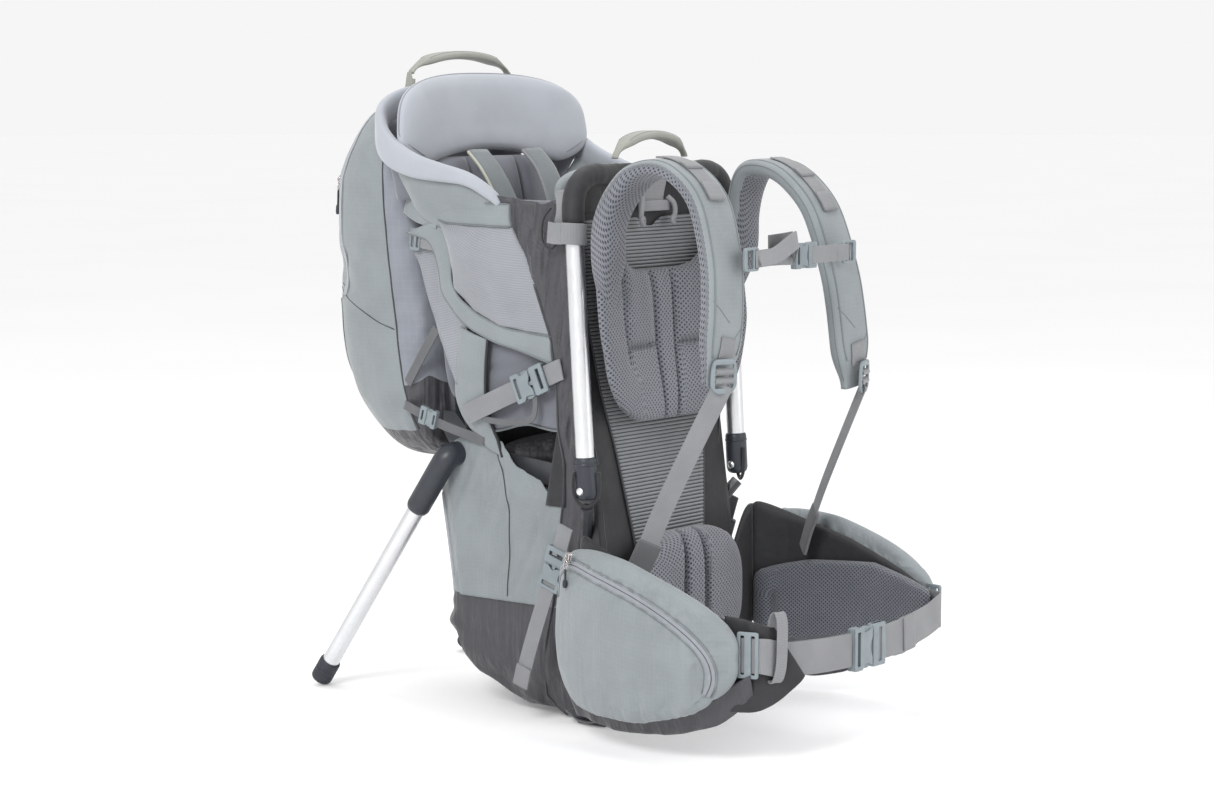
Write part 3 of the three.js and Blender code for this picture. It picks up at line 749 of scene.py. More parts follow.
def stretch_mesh(name, rgb, pitch=3.0):
    """Stretch pocket cloth with fine bands across."""
    look = Look(name, 0.75, 0.3)
    _, bands = look.waves(look.cloth_place(pitch))
    fine, rows = look.waves(look.cloth_place(0.8))
    colour = aged(look, rgb, change=0.05)
    dark = shade(rgb, 0.8)
    colour = look.tint(colour, bands, 0.45, dark)
    colour = look.tint(colour, look.math("MULTIPLY", fine, rows), 0.3, dark)
    height = look.math("MULTIPLY_ADD", fine, 0.2, bands)
    return look.finish(colour, look.bump(height, 0.25, 0.7, look.bump(look.noise(22), 0.7)))


def webbing_look(name, rgb, pitch=1.7):
    """Webbing with ribs across and a chevron along."""
    look = Look(name, 0.62, 0.2)
    _, along = look.waves(look.cloth_place(pitch))
    _, twill = look.waves(look.cloth_place(pitch * 0.8, turn=0.6))
    colour = aged(look, rgb, patch=30, change=0.06)
    dark = shade(rgb, 0.72)
    colour = look.tint(colour, look.math("SUBTRACT", 1.0, along), 0.4, dark)
    colour = look.tint(colour, twill, 0.15, dark)
    height = look.math("MULTIPLY_ADD", twill, 0.3, along)
    return look.finish(colour, look.bump(height, 0.25, 0.8))


def moulded(name, rgb, roughness=0.42, grain=0.9, depth=0.03, change=0.05):
    """Moulded plastic or rubber with a fine spark texture and rubbed patches."""
    look = Look(name, roughness)
    colour = aged(look, rgb, patch=14, change=change, wear=0.03)
    rough = look.remap(look.noise(9, 4.0), 0.3, 0.7, roughness - 0.08, roughness + 0.1)
    return look.finish(colour, look.bump(look.noise(grain, 2.0), depth, 0.6), rough)


def metal(name, rgb, roughness=0.3, stretch=(1, 1, 0.04), change=0.04):
    """Drawn or plated metal, with fine lines along it."""
    look = Look(name, roughness, metallic=1.0)
    lines = look.noise(0.7, 2.0, stretch=stretch)
    base = np.array(linear(rgb))
    dark = tuple(base[:3] * (1 - change * 2)) + (1.0,)
    colour = look.blend(look.remap(look.noise(24, 5.0), 0.35, 0.7), tuple(base), dark)
    rough = look.remap(lines, 0.3, 0.7, roughness - 0.07, roughness + 0.07)
    return look.finish(colour, look.bump(lines, 0.02, 0.5), rough)


def trim_cloth(name, rgb, roughness=0.62):
    """Close weave without ripstop or creases, for narrow pieces."""
    return woven(name, rgb, pitch=0.8, ripstop=40, roughness=roughness, crease=0.1)


SHELL = woven("shell_fabric", (140, 147, 150))
SHELL_CREASED = woven("shell_fabric_creased", (140, 147, 150), crease=1.6, folds=3.5)
SHELL_DARK = woven("shell_fabric_shaded", (116, 123, 126))
GUSSET = woven("gusset_fabric", (140, 144, 153), pitch=1.1, ripstop=9, roughness=0.75, crease=0.4)
CUSHION = knit("cushion_knit", (172, 176, 184))
CUSHION_SHADE = knit("cushion_knit_shaded", (116, 118, 127))
CHARCOAL = woven("charcoal_satin", (68, 68, 73), pitch=0.7, ripstop=7, roughness=0.42, sheen=0.12,
                 crease=1.3, folds=9.0)
BLACK = woven("black_nylon", (33, 34, 37), pitch=0.8, ripstop=50, roughness=0.6, sheen=0.12, crease=0.7)
AIR_MESH = spacer_mesh("air_mesh", (128, 130, 138), (58, 60, 71), pitch=5.8)
AIR_MESH_FINE = spacer_mesh("air_mesh_fine", (112, 115, 124), (52, 55, 65), pitch=4.6, radius=0.3)
BACK_MESH = ribbed_mesh("tension_mesh", (138, 141, 144), (50, 51, 55))
POCKET_MESH = stretch_mesh("pocket_stretch", (152, 155, 161))
WEBBING = webbing_look("webbing", (142, 143, 146))
WEBBING_DARK = webbing_look("webbing_shaded", (104, 105, 108))
HANDLE_WEB = webbing_look("handle_webbing", (160, 161, 153), pitch=2.2)
PIPING = trim_cloth("reflective_piping", (168, 172, 178), roughness=0.45)
ZIP_TAPE = trim_cloth("zip_tape", (150, 154, 160))
CREAM = trim_cloth("cream_binding", (190, 190, 174))
SEAM = trim_cloth("seam_thread", (58, 60, 64))
BUCKLE = moulded("buckle_acetal", (132, 142, 147), roughness=0.36)
PLASTIC = moulded("black_plastic", (47, 51, 59), roughness=0.4, grain=1.3, depth=0.05)
RUBBER = moulded("foot_rubber", (44, 48, 57), roughness=0.62, grain=1.6, depth=0.09)
ALUMINIUM = metal("satin_aluminium", (246, 247, 249), roughness=0.34, change=0.02)
STEEL = moulded("dark_steel_coat", (60, 62, 66), roughness=0.45)
ZIP_METAL = metal("zip_metal", (205, 200, 198), roughness=0.2, stretch=(1, 1, 1))
CORD = webbing_look("black_cord", (40, 42, 46), pitch=1.2)

# ---- shared trim -----------------------------------------------------------------------------


def strap(name, body, path, width, up=None, across=None, thick=1.9, look=None, slot="webbing", replaces=()):
    """Flat webbing along a path."""
    return swept(name, look or WEBBING, path, oval(width, thick, 7, 28), body, slot, up=up, across=across,
                 replaces=replaces)


def cord_line(name, body, path, radius, look, slot, up=(0.3, 0.2, 1)):
    return swept(name, look, path, oval(radius * 2, radius * 2, 2, 10), body, slot, up=up)


def side_cord(name, path, radius, look, slot):
    """A cord on the side cloth."""
    return cord_line(name, "frame", path, radius, look, slot, up=(1, 0, 0))


def seam(name, body, skin, path, radius=1.1, look=None, slot="shell_fabric", lift=0.0, toward=None):
    """Piping or a sewn line laid on a surface."""
    points, normals = skin.lay(path, lift, toward)
    return swept(name, look or SEAM, points, oval(radius * 2, radius * 2, 2, 8), body, slot, up=normals)


def tape(name, skin, path, width, look, toward=None, split=0.9):
    """Zip tape laid on a surface, with a slit along its middle."""
    thick = 1.2
    points, normals = skin.lay(path, 0.5, toward)
    side = unit(np.cross(unit(np.gradient(points, axis=0)), normals))
    surface = Surface()
    half = (width - split) / 2
    for end in (-1, 1):
        shift = side * end * (half + split) / 2
        sweep(surface, points + shift, oval(half, thick, 5, 12), up=normals)
    slit = oval(split * 1.6, thick * 0.6, 3, 8)
    sweep(surface, points - normals * thick * 0.3, slit, up=normals, slot=1)
    return fit(surface.build(name, [look, SEAM]), "frame", "shell_fabric")


def stitches(name, body, points, normals, look):
    """A row of thread along a line on a surface."""
    pitch, length, radius = 3.6, 2.3, 0.32
    surface = Surface()
    section = oval(radius * 2, radius * 2, 2, 6)
    reach = np.linalg.norm(np.diff(points, axis=0), axis=1).sum()
    count = max(2, int(reach / pitch))
    fine = evenly(np.hstack([points, normals]), count * 4)
    lift = np.array([-0.1, 0.25, -0.1])[:, None]
    for k in range(count):
        run = fine[k * 4:k * 4 + 3]
        centre, out = run[:, :3], unit(run[:, 3:])
        scale = length / max(np.linalg.norm(centre[-1] - centre[0]), 1e-6)
        centre = centre[1] + (centre - centre[1]) * min(scale, 1.4)
        sweep(surface, centre + out * lift, section, up=out)
    return fit(surface.build(name, [look]), body, "webbing")


def side_release(name, body, at, along, out, width, length, opened=None):
    """A side-release buckle for webbing of `width`. `along` points from the female half to the male.

    With opened None both halves are one piece; otherwise it is "female" or "male"."""
    w = width / 2 + 5
    back, fore = length * 0.56, length * 0.44
    socket = [(-back, -w), (-back * 0.55, -w), (-back * 0.45, -w * 0.72), (-back * 0.12, -w * 0.78),
              (0, -w * 0.9), (0, -w * 0.45)]
    shell = corners(socket + [(-back * 0.16, 0)] + mirrored(socket), 2.2)
    female_slot = slab((-back * 0.86, -back * 0.68), (-width / 2, width / 2), 1.2)
    prong = [(fore, w), (fore * 0.12, w), (fore * 0.05, w * 0.86), (-back * 0.18, w * 0.98),
             (-back * 0.42, w * 0.96), (-back * 0.6, w * 0.62), (-back * 0.5, w * 0.48), (0, w * 0.52),
             (fore * 0.02, w * 0.16), (-back * 0.5, w * 0.1)]
    male = corners(mirrored(prong[:1]) + prong + mirrored(prong[1:]), 1.8)
    male_slot = slab((fore * 0.5, fore * 0.74), (-width / 2, width / 2), 1.2)
    deep = 0.16 * width + 5
    bar = slab((-back, -back * 0.62), (-w, w), 2.2)
    parts = []
    if opened != "male":
        parts += [(plate([shell, female_slot], deep * 0.26), deep * 0.35),
                  (plate([shell, female_slot], deep * 0.26), -deep * 0.35),
                  (plate([bar, female_slot], deep * 0.8, 0.5), 0)]
    if opened != "female":
        parts += [(plate([male, male_slot], deep * 0.42), 0),
                  (plate([slab((fore * 0.1, fore), (-w, w), 2.4), male_slot], deep * 0.85, 1.0), 0)]
    return fit(assemble(name, parts, BUCKLE, at, along, out), body, "buckle_plastic")


def glide(name, body, at, along, out, width, long):
    """A flat adjuster with two slots."""
    half_w, half_l = width / 2 + 4, long / 2
    slots = []
    for middle in (-half_l * 0.5, half_l * 0.5):
        slots.append(slab((middle - 2.1, middle + 2.1), (-width / 2, width / 2), 1.2))
    frame_part = plate([slab((-half_l, half_l), (-half_w, half_w), 3.0)] + slots, 3.4, 0.8)
    return fit(assemble(name, [(frame_part, 0)], BUCKLE, at, along, out), body, "buckle_plastic")


def zip_pull(name, body, at, down, out, replaces, cord_long=30):
    """Zip slider with its bridge, ring and cord pull."""
    at, down, out = np.array(at, float), unit(down), unit(out)
    side = np.cross(out, down)
    length = np.array([at - down * 6, at - down * 2, at + down * 6])
    surface = Surface()
    for lift, width, thick in ((0.6, 9.5, 2.0), (3.2, 8.0, 1.6)):
        section = ovals(width * np.array([0.75, 1.0, 0.6]), thick, 4, 16)
        sweep(surface, length + out * lift, section, up=out)
    bridge = spline([at - down * 4 + out * 3.5, at - down * 1 + out * 6, at + down * 4 + out * 3.5], 10)
    sweep(surface, bridge, oval(2.2, 1.4, 2.5, 10), up=side)
    angle = np.linspace(0, 2 * math.pi, 20)[:, None]
    ring = at + out * 4.5 + down * (8 + 5 * np.cos(angle)) + side * 3 * np.sin(angle)
    sweep(surface, ring, oval(1.4, 1.4, 2, 8), up=out)
    tail = spline([at + out * 4.5 + down * 12, at + out * 3.6 + down * (12 + cord_long * 0.5),
                   at + out * 3.2 + down * (12 + cord_long)], 16)
    sweep(surface, tail, oval(2.6, 2.6, 2, 10), up=out, slot=1)
    size = np.array([0.7, 0.95, 1, 1, 1, 0.9, 0.6])
    sweep(surface, tail[-7:], ovals(5.2 * size, 4.4 * size, 3, 14), up=out, slot=2)
    return fit(surface.build(name, [ZIP_METAL, CORD, RUBBER]), body, "zip_metal", replaces)


# ---- tube frame and kickstand ----------------------------------------------------------------


def upright_y(z):
    return UPRIGHT_FOOT_Y + (z - UPRIGHT_BOTTOM) * UPRIGHT_LEAN


def frame_path(count):
    top = [UPRIGHT_X, upright_y(UPRIGHT_TOP), UPRIGHT_TOP]
    foot = [UPRIGHT_X, upright_y(UPRIGHT_BOTTOM), UPRIGHT_BOTTOM]
    return rounded([foot, top, top * MIRROR, foot * MIRROR], TOP_BEND, count)


def upper_frame():
    path = frame_path(150)
    swept("upper_frame_satin_tube", ALUMINIUM, path, oval(TUBE * 2, TUBE * 2, 2, 36), "frame",
          "aluminium_tube", up=FORWARD, replaces=["upper_frame_tube"])


def top_sleeve():
    """Cloth sleeve over the bends and the top bar."""
    path = frame_path(900)
    path = evenly(path[path[:, 2] > 574], 200)
    angle = np.linspace(0, 2 * math.pi, 40, endpoint=False)
    along = np.linspace(0, 560, 200)
    slim = 11.4 + 1.2 * step(70, 105, np.abs(path[:, :1]))
    radius = slim + 0.3 * ripple(along[:, None], 12 * np.cos(angle)[None], (26, 60), 15)
    section = np.stack([radius * np.cos(angle), radius * np.sin(angle)], -1)
    swept("top_bar_sleeve", BLACK, path, section, "frame", "black_fabric", up=FORWARD)


def upright_cap(side, label):
    lean = unit([0, UPRIGHT_LEAN, 1])
    foot = np.array([side * UPRIGHT_X, UPRIGHT_FOOT_Y, UPRIGHT_BOTTOM])
    heights = np.array([-20, -19.2, -17, -13, 0, 24, 26.5, 28])
    radii = np.array([6, 9.2, 11.4, 12.6, 12.6, 12.6, 12.2, 11.2])
    section = rounds(radii)
    surface = Surface()
    sweep(surface, foot + lean * heights[:, None], section, up=FORWARD)
    lip = np.array([-1.5, -1, 1, 1.5])
    section = rounds((12.6, 13.2, 13.2, 12.6))
    sweep(surface, foot + lean * (20 + lip)[:, None], section, up=FORWARD)
    for end in (-1, 1):
        at = foot + np.array([end * 12.2, -1, -9])
        dome = np.outer([0, 1.2, 2.2, 2.6], X_AXIS) * end
        section = rounds((4.6, 4.6, 3.6, 1.4), 20)
        sweep(surface, at + dome, section, up=FORWARD, slot=1)
    piece = surface.build(f"upright_cap_moulded_{label}", [PLASTIC, ALUMINIUM])
    fit(piece, "frame", "black_plastic", [f"upright_cap_{label}"])
    flat = np.array([-side * 0.62, -0.78, 0])
    out = np.array([side * 0.78, -0.62, 0])
    shape = [(-14, 14, 12), (-15, 13, -6), (-11, 13, -20), (0, 13, -27), (11, 13, -20), (15, 13, -6),
             (14, 14, 12)]
    loop = np.array([foot + flat * a + out * (b * 0.35) + np.array([0, 0, c]) for a, b, c in shape])
    cord_line(f"upright_loop_{label}", "frame", spline(loop, 50), 2.1, CORD, "black_fabric", up=out)


def leg_point(side, reach):
    return np.array([side * LEG_X, HINGE_Y + reach * math.sin(LEG_TILT),
                     HINGE_Z - reach * math.cos(LEG_TILT)])


def kickstand(side, label):
    down = unit(leg_point(side, 1) - leg_point(side, 0))
    plane = np.cross([side, 0, 0], down)
    path = np.stack([leg_point(side, r) for r in np.linspace(ELBOW_REACH - 25, LEG_END - 6, 12)])
    swept(f"kickstand_leg_satin_{label}", ALUMINIUM, path, oval(TUBE * 2, TUBE * 2, 2, 36), "kickstand",
          "aluminium_tube", up=(1, 0, 0), replaces=[f"kickstand_leg_{label}"])

    inner = [side * 105.6, HINGE_Y, HINGE_Z]
    path = rounded([inner, [side * LEG_X, HINGE_Y, HINGE_Z], leg_point(side, ELBOW_REACH)], 24, 44)
    radius = np.full(len(path), 14.0)
    radius[[0, -1]] = 12.4
    radius[[1, -2]] = 13.4
    section = ovals(radius * 2, radius * 2, 2.1, 32)
    swept(f"kickstand_elbow_moulded_{label}", PLASTIC, path, section, "kickstand", "black_plastic",
          up=plane, replaces=[f"kickstand_elbow_{label}"])

    reach = LEG_END - np.array([30, 29, 27, 20, 19, 18, 17, 14, 13, 12, 11, 5, 2, 0.4, 0])
    radius = [11.6, 12.4, 13, 13, 12.5, 12.5, 13, 13, 12.5, 12.5, 13, 13, 12.8, 12, 11]
    section = rounds(radius)
    swept(f"kickstand_foot_ribbed_{label}", RUBBER, np.stack([leg_point(side, r) for r in reach]),
          section, "kickstand", "foot_rubber", up=(1, 0, 0), replaces=[f"kickstand_foot_{label}"])


def kept_nodes():
    """Frame parts inside the fabric keep their own shape."""
    looks = {"lower_frame_tube": STEEL, "rear_frame_hoop": STEEL, "base_skid": PLASTIC,
             "kickstand_plate_left": STEEL, "kickstand_plate_right": STEEL,
             "kickstand_cross_tube": ALUMINIUM}
    for name, look in looks.items():
        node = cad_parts[name]
        node.data.materials.clear()
        node.data.materials.append(look)


# ---- day pack --------------------------------------------------------------------------------

BACK_PROFILE = [(288, 360), (310, 376), (356, 412), (404, 430), (465, 440), (540, 444), (620, 438),
                (704, 392)]


def back_y(z):
    return profile([(300, 221), (450, 237), (600, 262), (720, 285)], z)


def pack_point(u, v, w):
    """Place on the day pack; v = -0.5 is the piped line between its side gusset and its main part."""
    z = mix(PACK_LOW, PACK_HIGH, (w + 1) / 2)
    front = back_y(z) + 14
    back = profile(BACK_PROFILE, z) - 9
    share = np.interp(v, [-1, -0.5, 1], [0, GUSSET_SHARE, 1])
    half = mix(127, 91, share**2)
    return np.stack([u * half, mix(front, back, share), z], -1)


def daypack():
    def slot(u, v, w):
        chosen = np.zeros(u.shape, int)
        chosen[v < -0.5] = 1
        chosen[(v < -0.5) & (w < -0.62)] = 2
        chosen[w < -0.97] = 2
        return chosen

    surface = block((22, 20, 40), 5, pack_point, slot)
    looks = [SHELL, GUSSET, CHARCOAL]
    return Skin(pad(surface, "daypack", looks, "shell_fabric", "daypack_body",
                    puff=(pack_pins, 2.0, 0.03, 5)))


def seam_share(y, z):
    front = back_y(z) + 14
    return (y - front) / np.maximum(profile(BACK_PROFILE, z) - 9 - front, 1)


def pack_pins(x, y, z):
    share = seam_share(y, z)
    side = np.abs(x) > 60
    return (side & (np.abs(share - GUSSET_SHARE) < 0.035)) | (share < 0.03)


def pack_ring(share, w_low, w_high=0.97):
    """A line up one side of the pack, over the top and down the other, at a share of its depth."""
    v = np.interp(share, [0, GUSSET_SHARE, 1], [-1, -0.5, 1])
    rise = [pack_point(-0.99, v, w) for w in np.linspace(w_low, 0.8, 14)]
    over = [pack_point(u, v, w_high) for u in np.linspace(-0.75, 0.75, 9)]
    fall = [p * MIRROR for p in reversed(rise)]
    return spline(np.array(rise + over + fall), 160)


def daypack_trim(skin):
    seam("daypack_gusset_piping", "frame", skin, pack_ring(GUSSET_SHARE, -0.86), 1.1, lift=0.1)
    tape("daypack_zip_tape", skin, pack_ring(0.80, -0.1), 11, PIPING, split=0.9)
    for offset, name in ((0.75, "front"), (0.85, "rear")):
        seam(f"daypack_zip_seam_{name}", "frame", skin, pack_ring(offset, -0.12), 0.5, SHELL_DARK)
    for label, side in SIDES.items():
        places = [(118, 300, 440), (116, 340, 452), (110, 380, 470), (104, 420, 484)]
        diagonal = side_spline(side, places, 30)
        seam(f"daypack_panel_seam_{label}", "frame", skin, diagonal, 0.7, toward=(-side, 0, 0))
    across = spline([(-104, 430, 484), (-50, 446, 496), (0, 450, 500), (50, 446, 496), (104, 430, 484)], 40)
    seam("daypack_back_seam", "frame", skin, across, 0.7, toward=FORWARD)
    pocket = spline([(-88, 440, 470), (-84, 440, 400), (-60, 425, 345), (0, 420, 328), (60, 425, 345),
                     (84, 440, 400), (88, 440, 470)], 70)
    tape("daypack_pocket_zip", skin, pocket, 12, SHELL_DARK, toward=FORWARD, split=1.0)
    points, _ = skin.lay([(-70, 444, 612)], 3.0, FORWARD)
    zip_pull("daypack_zip_pull", "daypack_zip", points[0], (0, 0.12, -1), (-0.45, 0.9, 0),
             ["daypack_zip_slider"], 30)
    upright_zip = spline([(-69.5, 446, 512), (-69.5, 446, 640)], 30)
    tape("daypack_front_zip", skin, upright_zip, 12, SHELL_DARK, toward=FORWARD, split=1.0)


# ---- cockpit ---------------------------------------------------------------------------------


def headrest():
    def place(u, v, w):
        z = mix(632, 740, (w + 1) / 2)
        arch = 24 * np.clip(1 - (u / 0.7) ** 2, 0, 1) * np.clip(-w, 0, 1)
        brow = 6 * np.clip(1 - u * u, 0, 1) * np.clip(w, 0, 1)
        lean = (z - 642) * 0.1
        y = mix(250, 280, (v + 1) / 2) - 23 * u * u + lean
        return np.stack([u * mix(181, 164, (w + 1) / 2), y, z + arch + brow - 4], -1)

    surface = block((34, 5, 14), 3.2, place)
    skin = Skin(pad(surface, "headrest_cushion", [CUSHION], "cushion_fabric", "headrest_pad", 0.75))
    angle = np.linspace(0, 2 * math.pi, 90)
    ring = np.stack([186 * np.cos(angle), 266 - 23 * np.cos(angle) ** 2 + 5 * np.sin(angle),
                     690 + 60 * np.sin(angle)], 1)
    seam("headrest_piping", "frame", skin, ring, 1.0, GUSSET, "cushion_fabric")


def cockpit_back():
    def place(u, v):
        z = mix(352, 645, (v + 1) / 2)
        return np.stack([u * 122, back_y(z) - 10 - 3 * (1 - u * u), z], -1)

    def front(u, v):
        channel = groove((np.abs(u) - 0.36) * 122, 5, 0.75) * groove((v - 0.1) * 146, 5, 0.6)
        return 15 * edge(u, v, 8) * channel

    surface = pillow(place, front, lambda u, v: 8 * edge(u, v, 8), (60, 60), 8)
    pad(surface, "cockpit_cushion", [CUSHION_SHADE], "cushion_fabric", "cockpit_back", 0.6)
    z, u = grid((256, 366, 14), (-1, 1, 24))
    cloth("seat_curtain", BLACK,
          np.stack([u * 116, profile([(256, 190), (330, 194), (366, 206)], z), z], -1), 2, "black_fabric")


def corner_lining(side, label):
    """Lining from the side cloth round to the cockpit back, under the rim."""
    t = np.linspace(0, 1, 14)[:, None]
    edges = [((132, 262, 594), (170, 256, 646)), ((140, 276, 594), (162, 277, 664)),
             ((128, 284, 594), (140, 290, 684)), ((104, 284, 594), (112, 292, 690))]
    columns = np.stack([mix(np.array(low, float), np.array(high, float), t) for low, high in edges], 1)
    sheet = np.stack([spline(row, 20) for row in columns]) * np.array([side, 1, 1])
    cloth(f"corner_lining_{label}", CUSHION_SHADE, sheet, 1.6, "cushion_fabric", held="stretched")


RIM_PATH = [(-141, 119, 592), (-146, 130, 604), (-156, 156, 621), (-166, 192, 629), (-172, 224, 636),
            (-173, 256, 650), (-163, 281, 670), (-140, 296, 694), (-90, 300, 712), (0, 303, 721)]
RIM_WIDTH = [8, 13, 16, 22, 28, 33, 35, 34, 30, 28]


def rim_line():
    path = np.array(RIM_PATH, float)
    return np.vstack([path, path[-2::-1] * MIRROR]), np.array(RIM_WIDTH + RIM_WIDTH[-2::-1], float)


def cockpit_rim():
    path, width = rim_line()
    full = spline(np.hstack([path, width[:, None]]), 150)
    line, width = full[:, :3], full[:, 3]
    section = np.stack([oval(15, w, 2.6, 28)[:, ::-1] for w in width])
    surface = Surface()
    along = unit(np.gradient(line, axis=0))
    flat = unit(np.cross(along, UPWARD))
    rise = np.cross(flat, along)
    rows = line[:, None] + rise[:, None] * section[..., :1] + flat[:, None] * section[..., 1:]
    index = surface.grid(rows, 0, wrap=True)
    surface.cap(index[0, :-1][::-1])
    surface.cap(index[-1, :-1])
    pad(surface, "cockpit_rim_pad", [CUSHION], "cushion_fabric", "cockpit_rim")


def drool_pad():
    def place(u, v, w):
        z = mix(594, 640, (w + 1) / 2) - 6 * u * u
        return np.stack([u * 126, mix(29, 56, (v + 1) / 2) + 8 * u * u, z], -1)

    surface = block((26, 6, 8), 3.5, place)
    puff = (lambda x, y, z: z < 597, 3.0, 0.05, 4)
    pad(surface, "face_pad", [SHELL], "shell_fabric", "drool_pad", puff=puff)


def child_seat():
    def place(u, v, w):
        y = mix(42, 182, (v + 1) / 2)
        half = profile([(40, 46), (100, 62), (184, 102)], y)
        crown = 3 * np.clip(1 - u * u, 0, 1) * np.clip(w, 0, 1)
        return np.stack([u * half, y, mix(286, 315, (w + 1) / 2) + crown], -1)

    surface = block((18, 16, 5), 4, place)
    puff = (lambda x, y, z: z < 289, 3.0, 0.02, 4)
    pad(surface, "child_seat_cushion", [CHARCOAL], "black_fabric", "child_seat_pad", 0.6, "child_seat",
        puff)


def child_harness():
    path = [(126, 352), (134, 420), (160, 520), (190, 592), (210, 628), (232, 650)]
    give = ("child_seat", "frame", (0, 134, 440), (0, 210, 630))
    for label, side in SIDES.items():
        points = spline([(side * profile([(126, 30), (206, 50)], y), y, z) for y, z in path], 50)
        swept(f"child_strap_{label}", SHELL_DARK, points, oval(34, 7, 4, 28), give, "charcoal_fabric",
              across=X_AXIS, replaces=["child_harness"], fill=0.5)
        for end in (-1, 1):
            line = points + X_AXIS * end * 17
            cord_line(f"child_strap_binding_{label}_{'outer' if end == side else 'inner'}", give, line, 1.9,
                      CREAM if end == side else WEBBING, "webbing", up=X_AXIS)
    chest = spline([(-58, 147, 481), (0, 144, 479), (58, 147, 481)], 20)
    strap("child_chest_strap", "child_seat", chest, 20, up=FORWARD, thick=3)
    side_release("child_chest_buckle", "child_seat", (0, 142, 480), (1, 0, 0), FORWARD, 20, 40)
    crotch = spline([(0, 122, 322), (0, 123, 340), (0, 127, 364)], 16)
    strap("child_crotch_strap", "child_seat", crotch, 92, up=FORWARD, thick=5, look=CHARCOAL,
          slot="charcoal_fabric")


# ---- sides of the cockpit --------------------------------------------------------------------


def wall_x(z):
    """Half the width of the cockpit's side cloth at height z."""
    return profile([(0, 90), (11, 99), (60, 112), (140, 118.5), (300, 118.5), (345, 127), (600, 140),
                    (640, 146)], z)


def side_panel(side, label):
    """Charcoal cloth from the back panel round behind the upright and back along the side."""
    rear = [(4, 62), (24, 84), (90, 76), (145, 60), (235, 50), (262, 46), (376, 44), (443, 50), (504, 72),
            (565, 108), (612, 122)]
    z, s = grid((3, 612, 110), (0, 1, 34))
    front_y = profile([(0, -8), (200, -14), (296, -2), (381, 6), (612, 14)], z)
    knee_y = np.where(z > 270, upright_y(z) + 15, front_y + 8)
    knee_x = wall_x(z) + np.where(z > 300, step(300, 340, z) * 4, 0)
    turn = 0.22
    first = np.clip(s / turn, 0, 1)
    second = np.clip((s - turn) / (1 - turn), 0, 1)
    x = mix(np.minimum(wall_x(z), 128) - 3, knee_x, first**1.6)
    y = mix(front_y, knee_y, first) + (profile(rear, z) - knee_y) * second
    z = z - step(540, 612, z) * profile([(0, 0), (13, 2), (52, 17), (90, 12), (125, 8)], y)
    sway = ripple(y + 0.12 * z, z, (24, 190), 11) * 6.5 + ripple(y + 0.3 * z, z, (13, 120), 12) * 3.2
    fold = sway * np.clip(second * 3, 0, 1) * np.clip((1 - second) * 3, 0, 1)
    x = x + np.where(z > 310, fold, np.minimum(fold * 0.5, 1.0))
    cloth(f"side_panel_{label}", CHARCOAL, sided(side, x, y, z), 1.6, "charcoal_fabric",
          replaces=[f"side_wall_{label}"], held="stretched")
    side_cord(f"side_panel_binding_{label}", edge_line(side, x, y, z, -1, 0.8)[::2], 1.5, SEAM,
              "charcoal_fabric")


BORDER_OUTER = [(264, 556), (232, 548), (219, 525), (211, 489), (184, 458), (142, 438), (99, 428),
                (50, 414)]
BORDER_INNER = [(214, 574), (203, 556), (197, 526), (193, 494), (164, 470), (124, 454), (86, 449),
                (50, 446)]


def pocket_x(z):
    """Half the width over the pocket area at height z."""
    return profile([(330, 130), (452, 136), (592, 140), (640, 150)], z)


def side_pocket(side, label):
    """Stretch pocket with a shell band along its mouth."""
    s, t = grid((0, 1, 46), (0, 1, 40))
    lower = evenly(BORDER_INNER, 46)
    upper = evenly([(214, 574), (196, 570), (128, 568), (104, 568), (88, 568)], 46)
    flat, _ = ruled(lower, upper, 40)
    y, z = flat[..., 0], flat[..., 1]
    y = np.maximum(y, profile([(440, 44), (516, 68), (568, 102)], z))
    swell = 17 * np.clip(4 * s * (1 - s), 0, 1) ** 0.6 * np.clip(t * 1.6, 0, 1) ** 0.8
    x = pocket_x(z) + swell - 9 * step(0.75, 1, t) * 4 * s * (1 - s)
    x = x + ripple(y, z, (60, 40), 21) * 1.2 * np.clip(4 * s * (1 - s), 0, 1)
    cloth(f"side_pocket_stretch_{label}", POCKET_MESH, sided(side, x, y, z).swapaxes(0, 1), 1.4,
          "shell_fabric", replaces=[f"side_pocket_{label}"], held="stretched")

    mouth = edge_line(side, x, y, z, -1, 0.8)
    band, t = ruled(mouth, mouth + np.array([-side * 2.0, 4, 26]), 8)
    crease = ripple(band[..., 1], band[..., 2], (30, 20), 22)
    band[..., 0] += side * (2.0 * np.sin(t * math.pi) + 0.6 * crease)
    cloth(f"side_pocket_band_{label}", SHELL, band, 2.6, "shell_fabric")
    for name, row in (("upper", -1), ("lower", 0)):
        line = band[:, row] + np.array([side * 1.6, 0, 0])
        side_cord(f"side_pocket_hem_{name}_{label}", line, 0.8, SHELL_DARK, "shell_fabric")


def side_border(side, label):
    """Shell cloth that frames the pocket and runs forward to the charcoal panel."""
    flat, t = ruled(spline(BORDER_OUTER, 60), spline(BORDER_INNER, 60), 9)
    y, z = flat[..., 0], flat[..., 1]
    x = pocket_x(z) + 2.5 * np.sin(t * math.pi) + 0.8 * ripple(y, z, 40, 31)
    cloth(f"side_border_{label}", SHELL, sided(side, x, y, z), 2.2, "shell_fabric")
    for name, column, lift, radius in (("piping", -1, 1.6, 0.8), ("edge", 0, 0.6, 1.3)):
        line = edge_line(side, x, y, z, column, lift)
        side_cord(f"side_border_{name}_{label}", line, radius, SHELL_DARK, "shell_fabric")


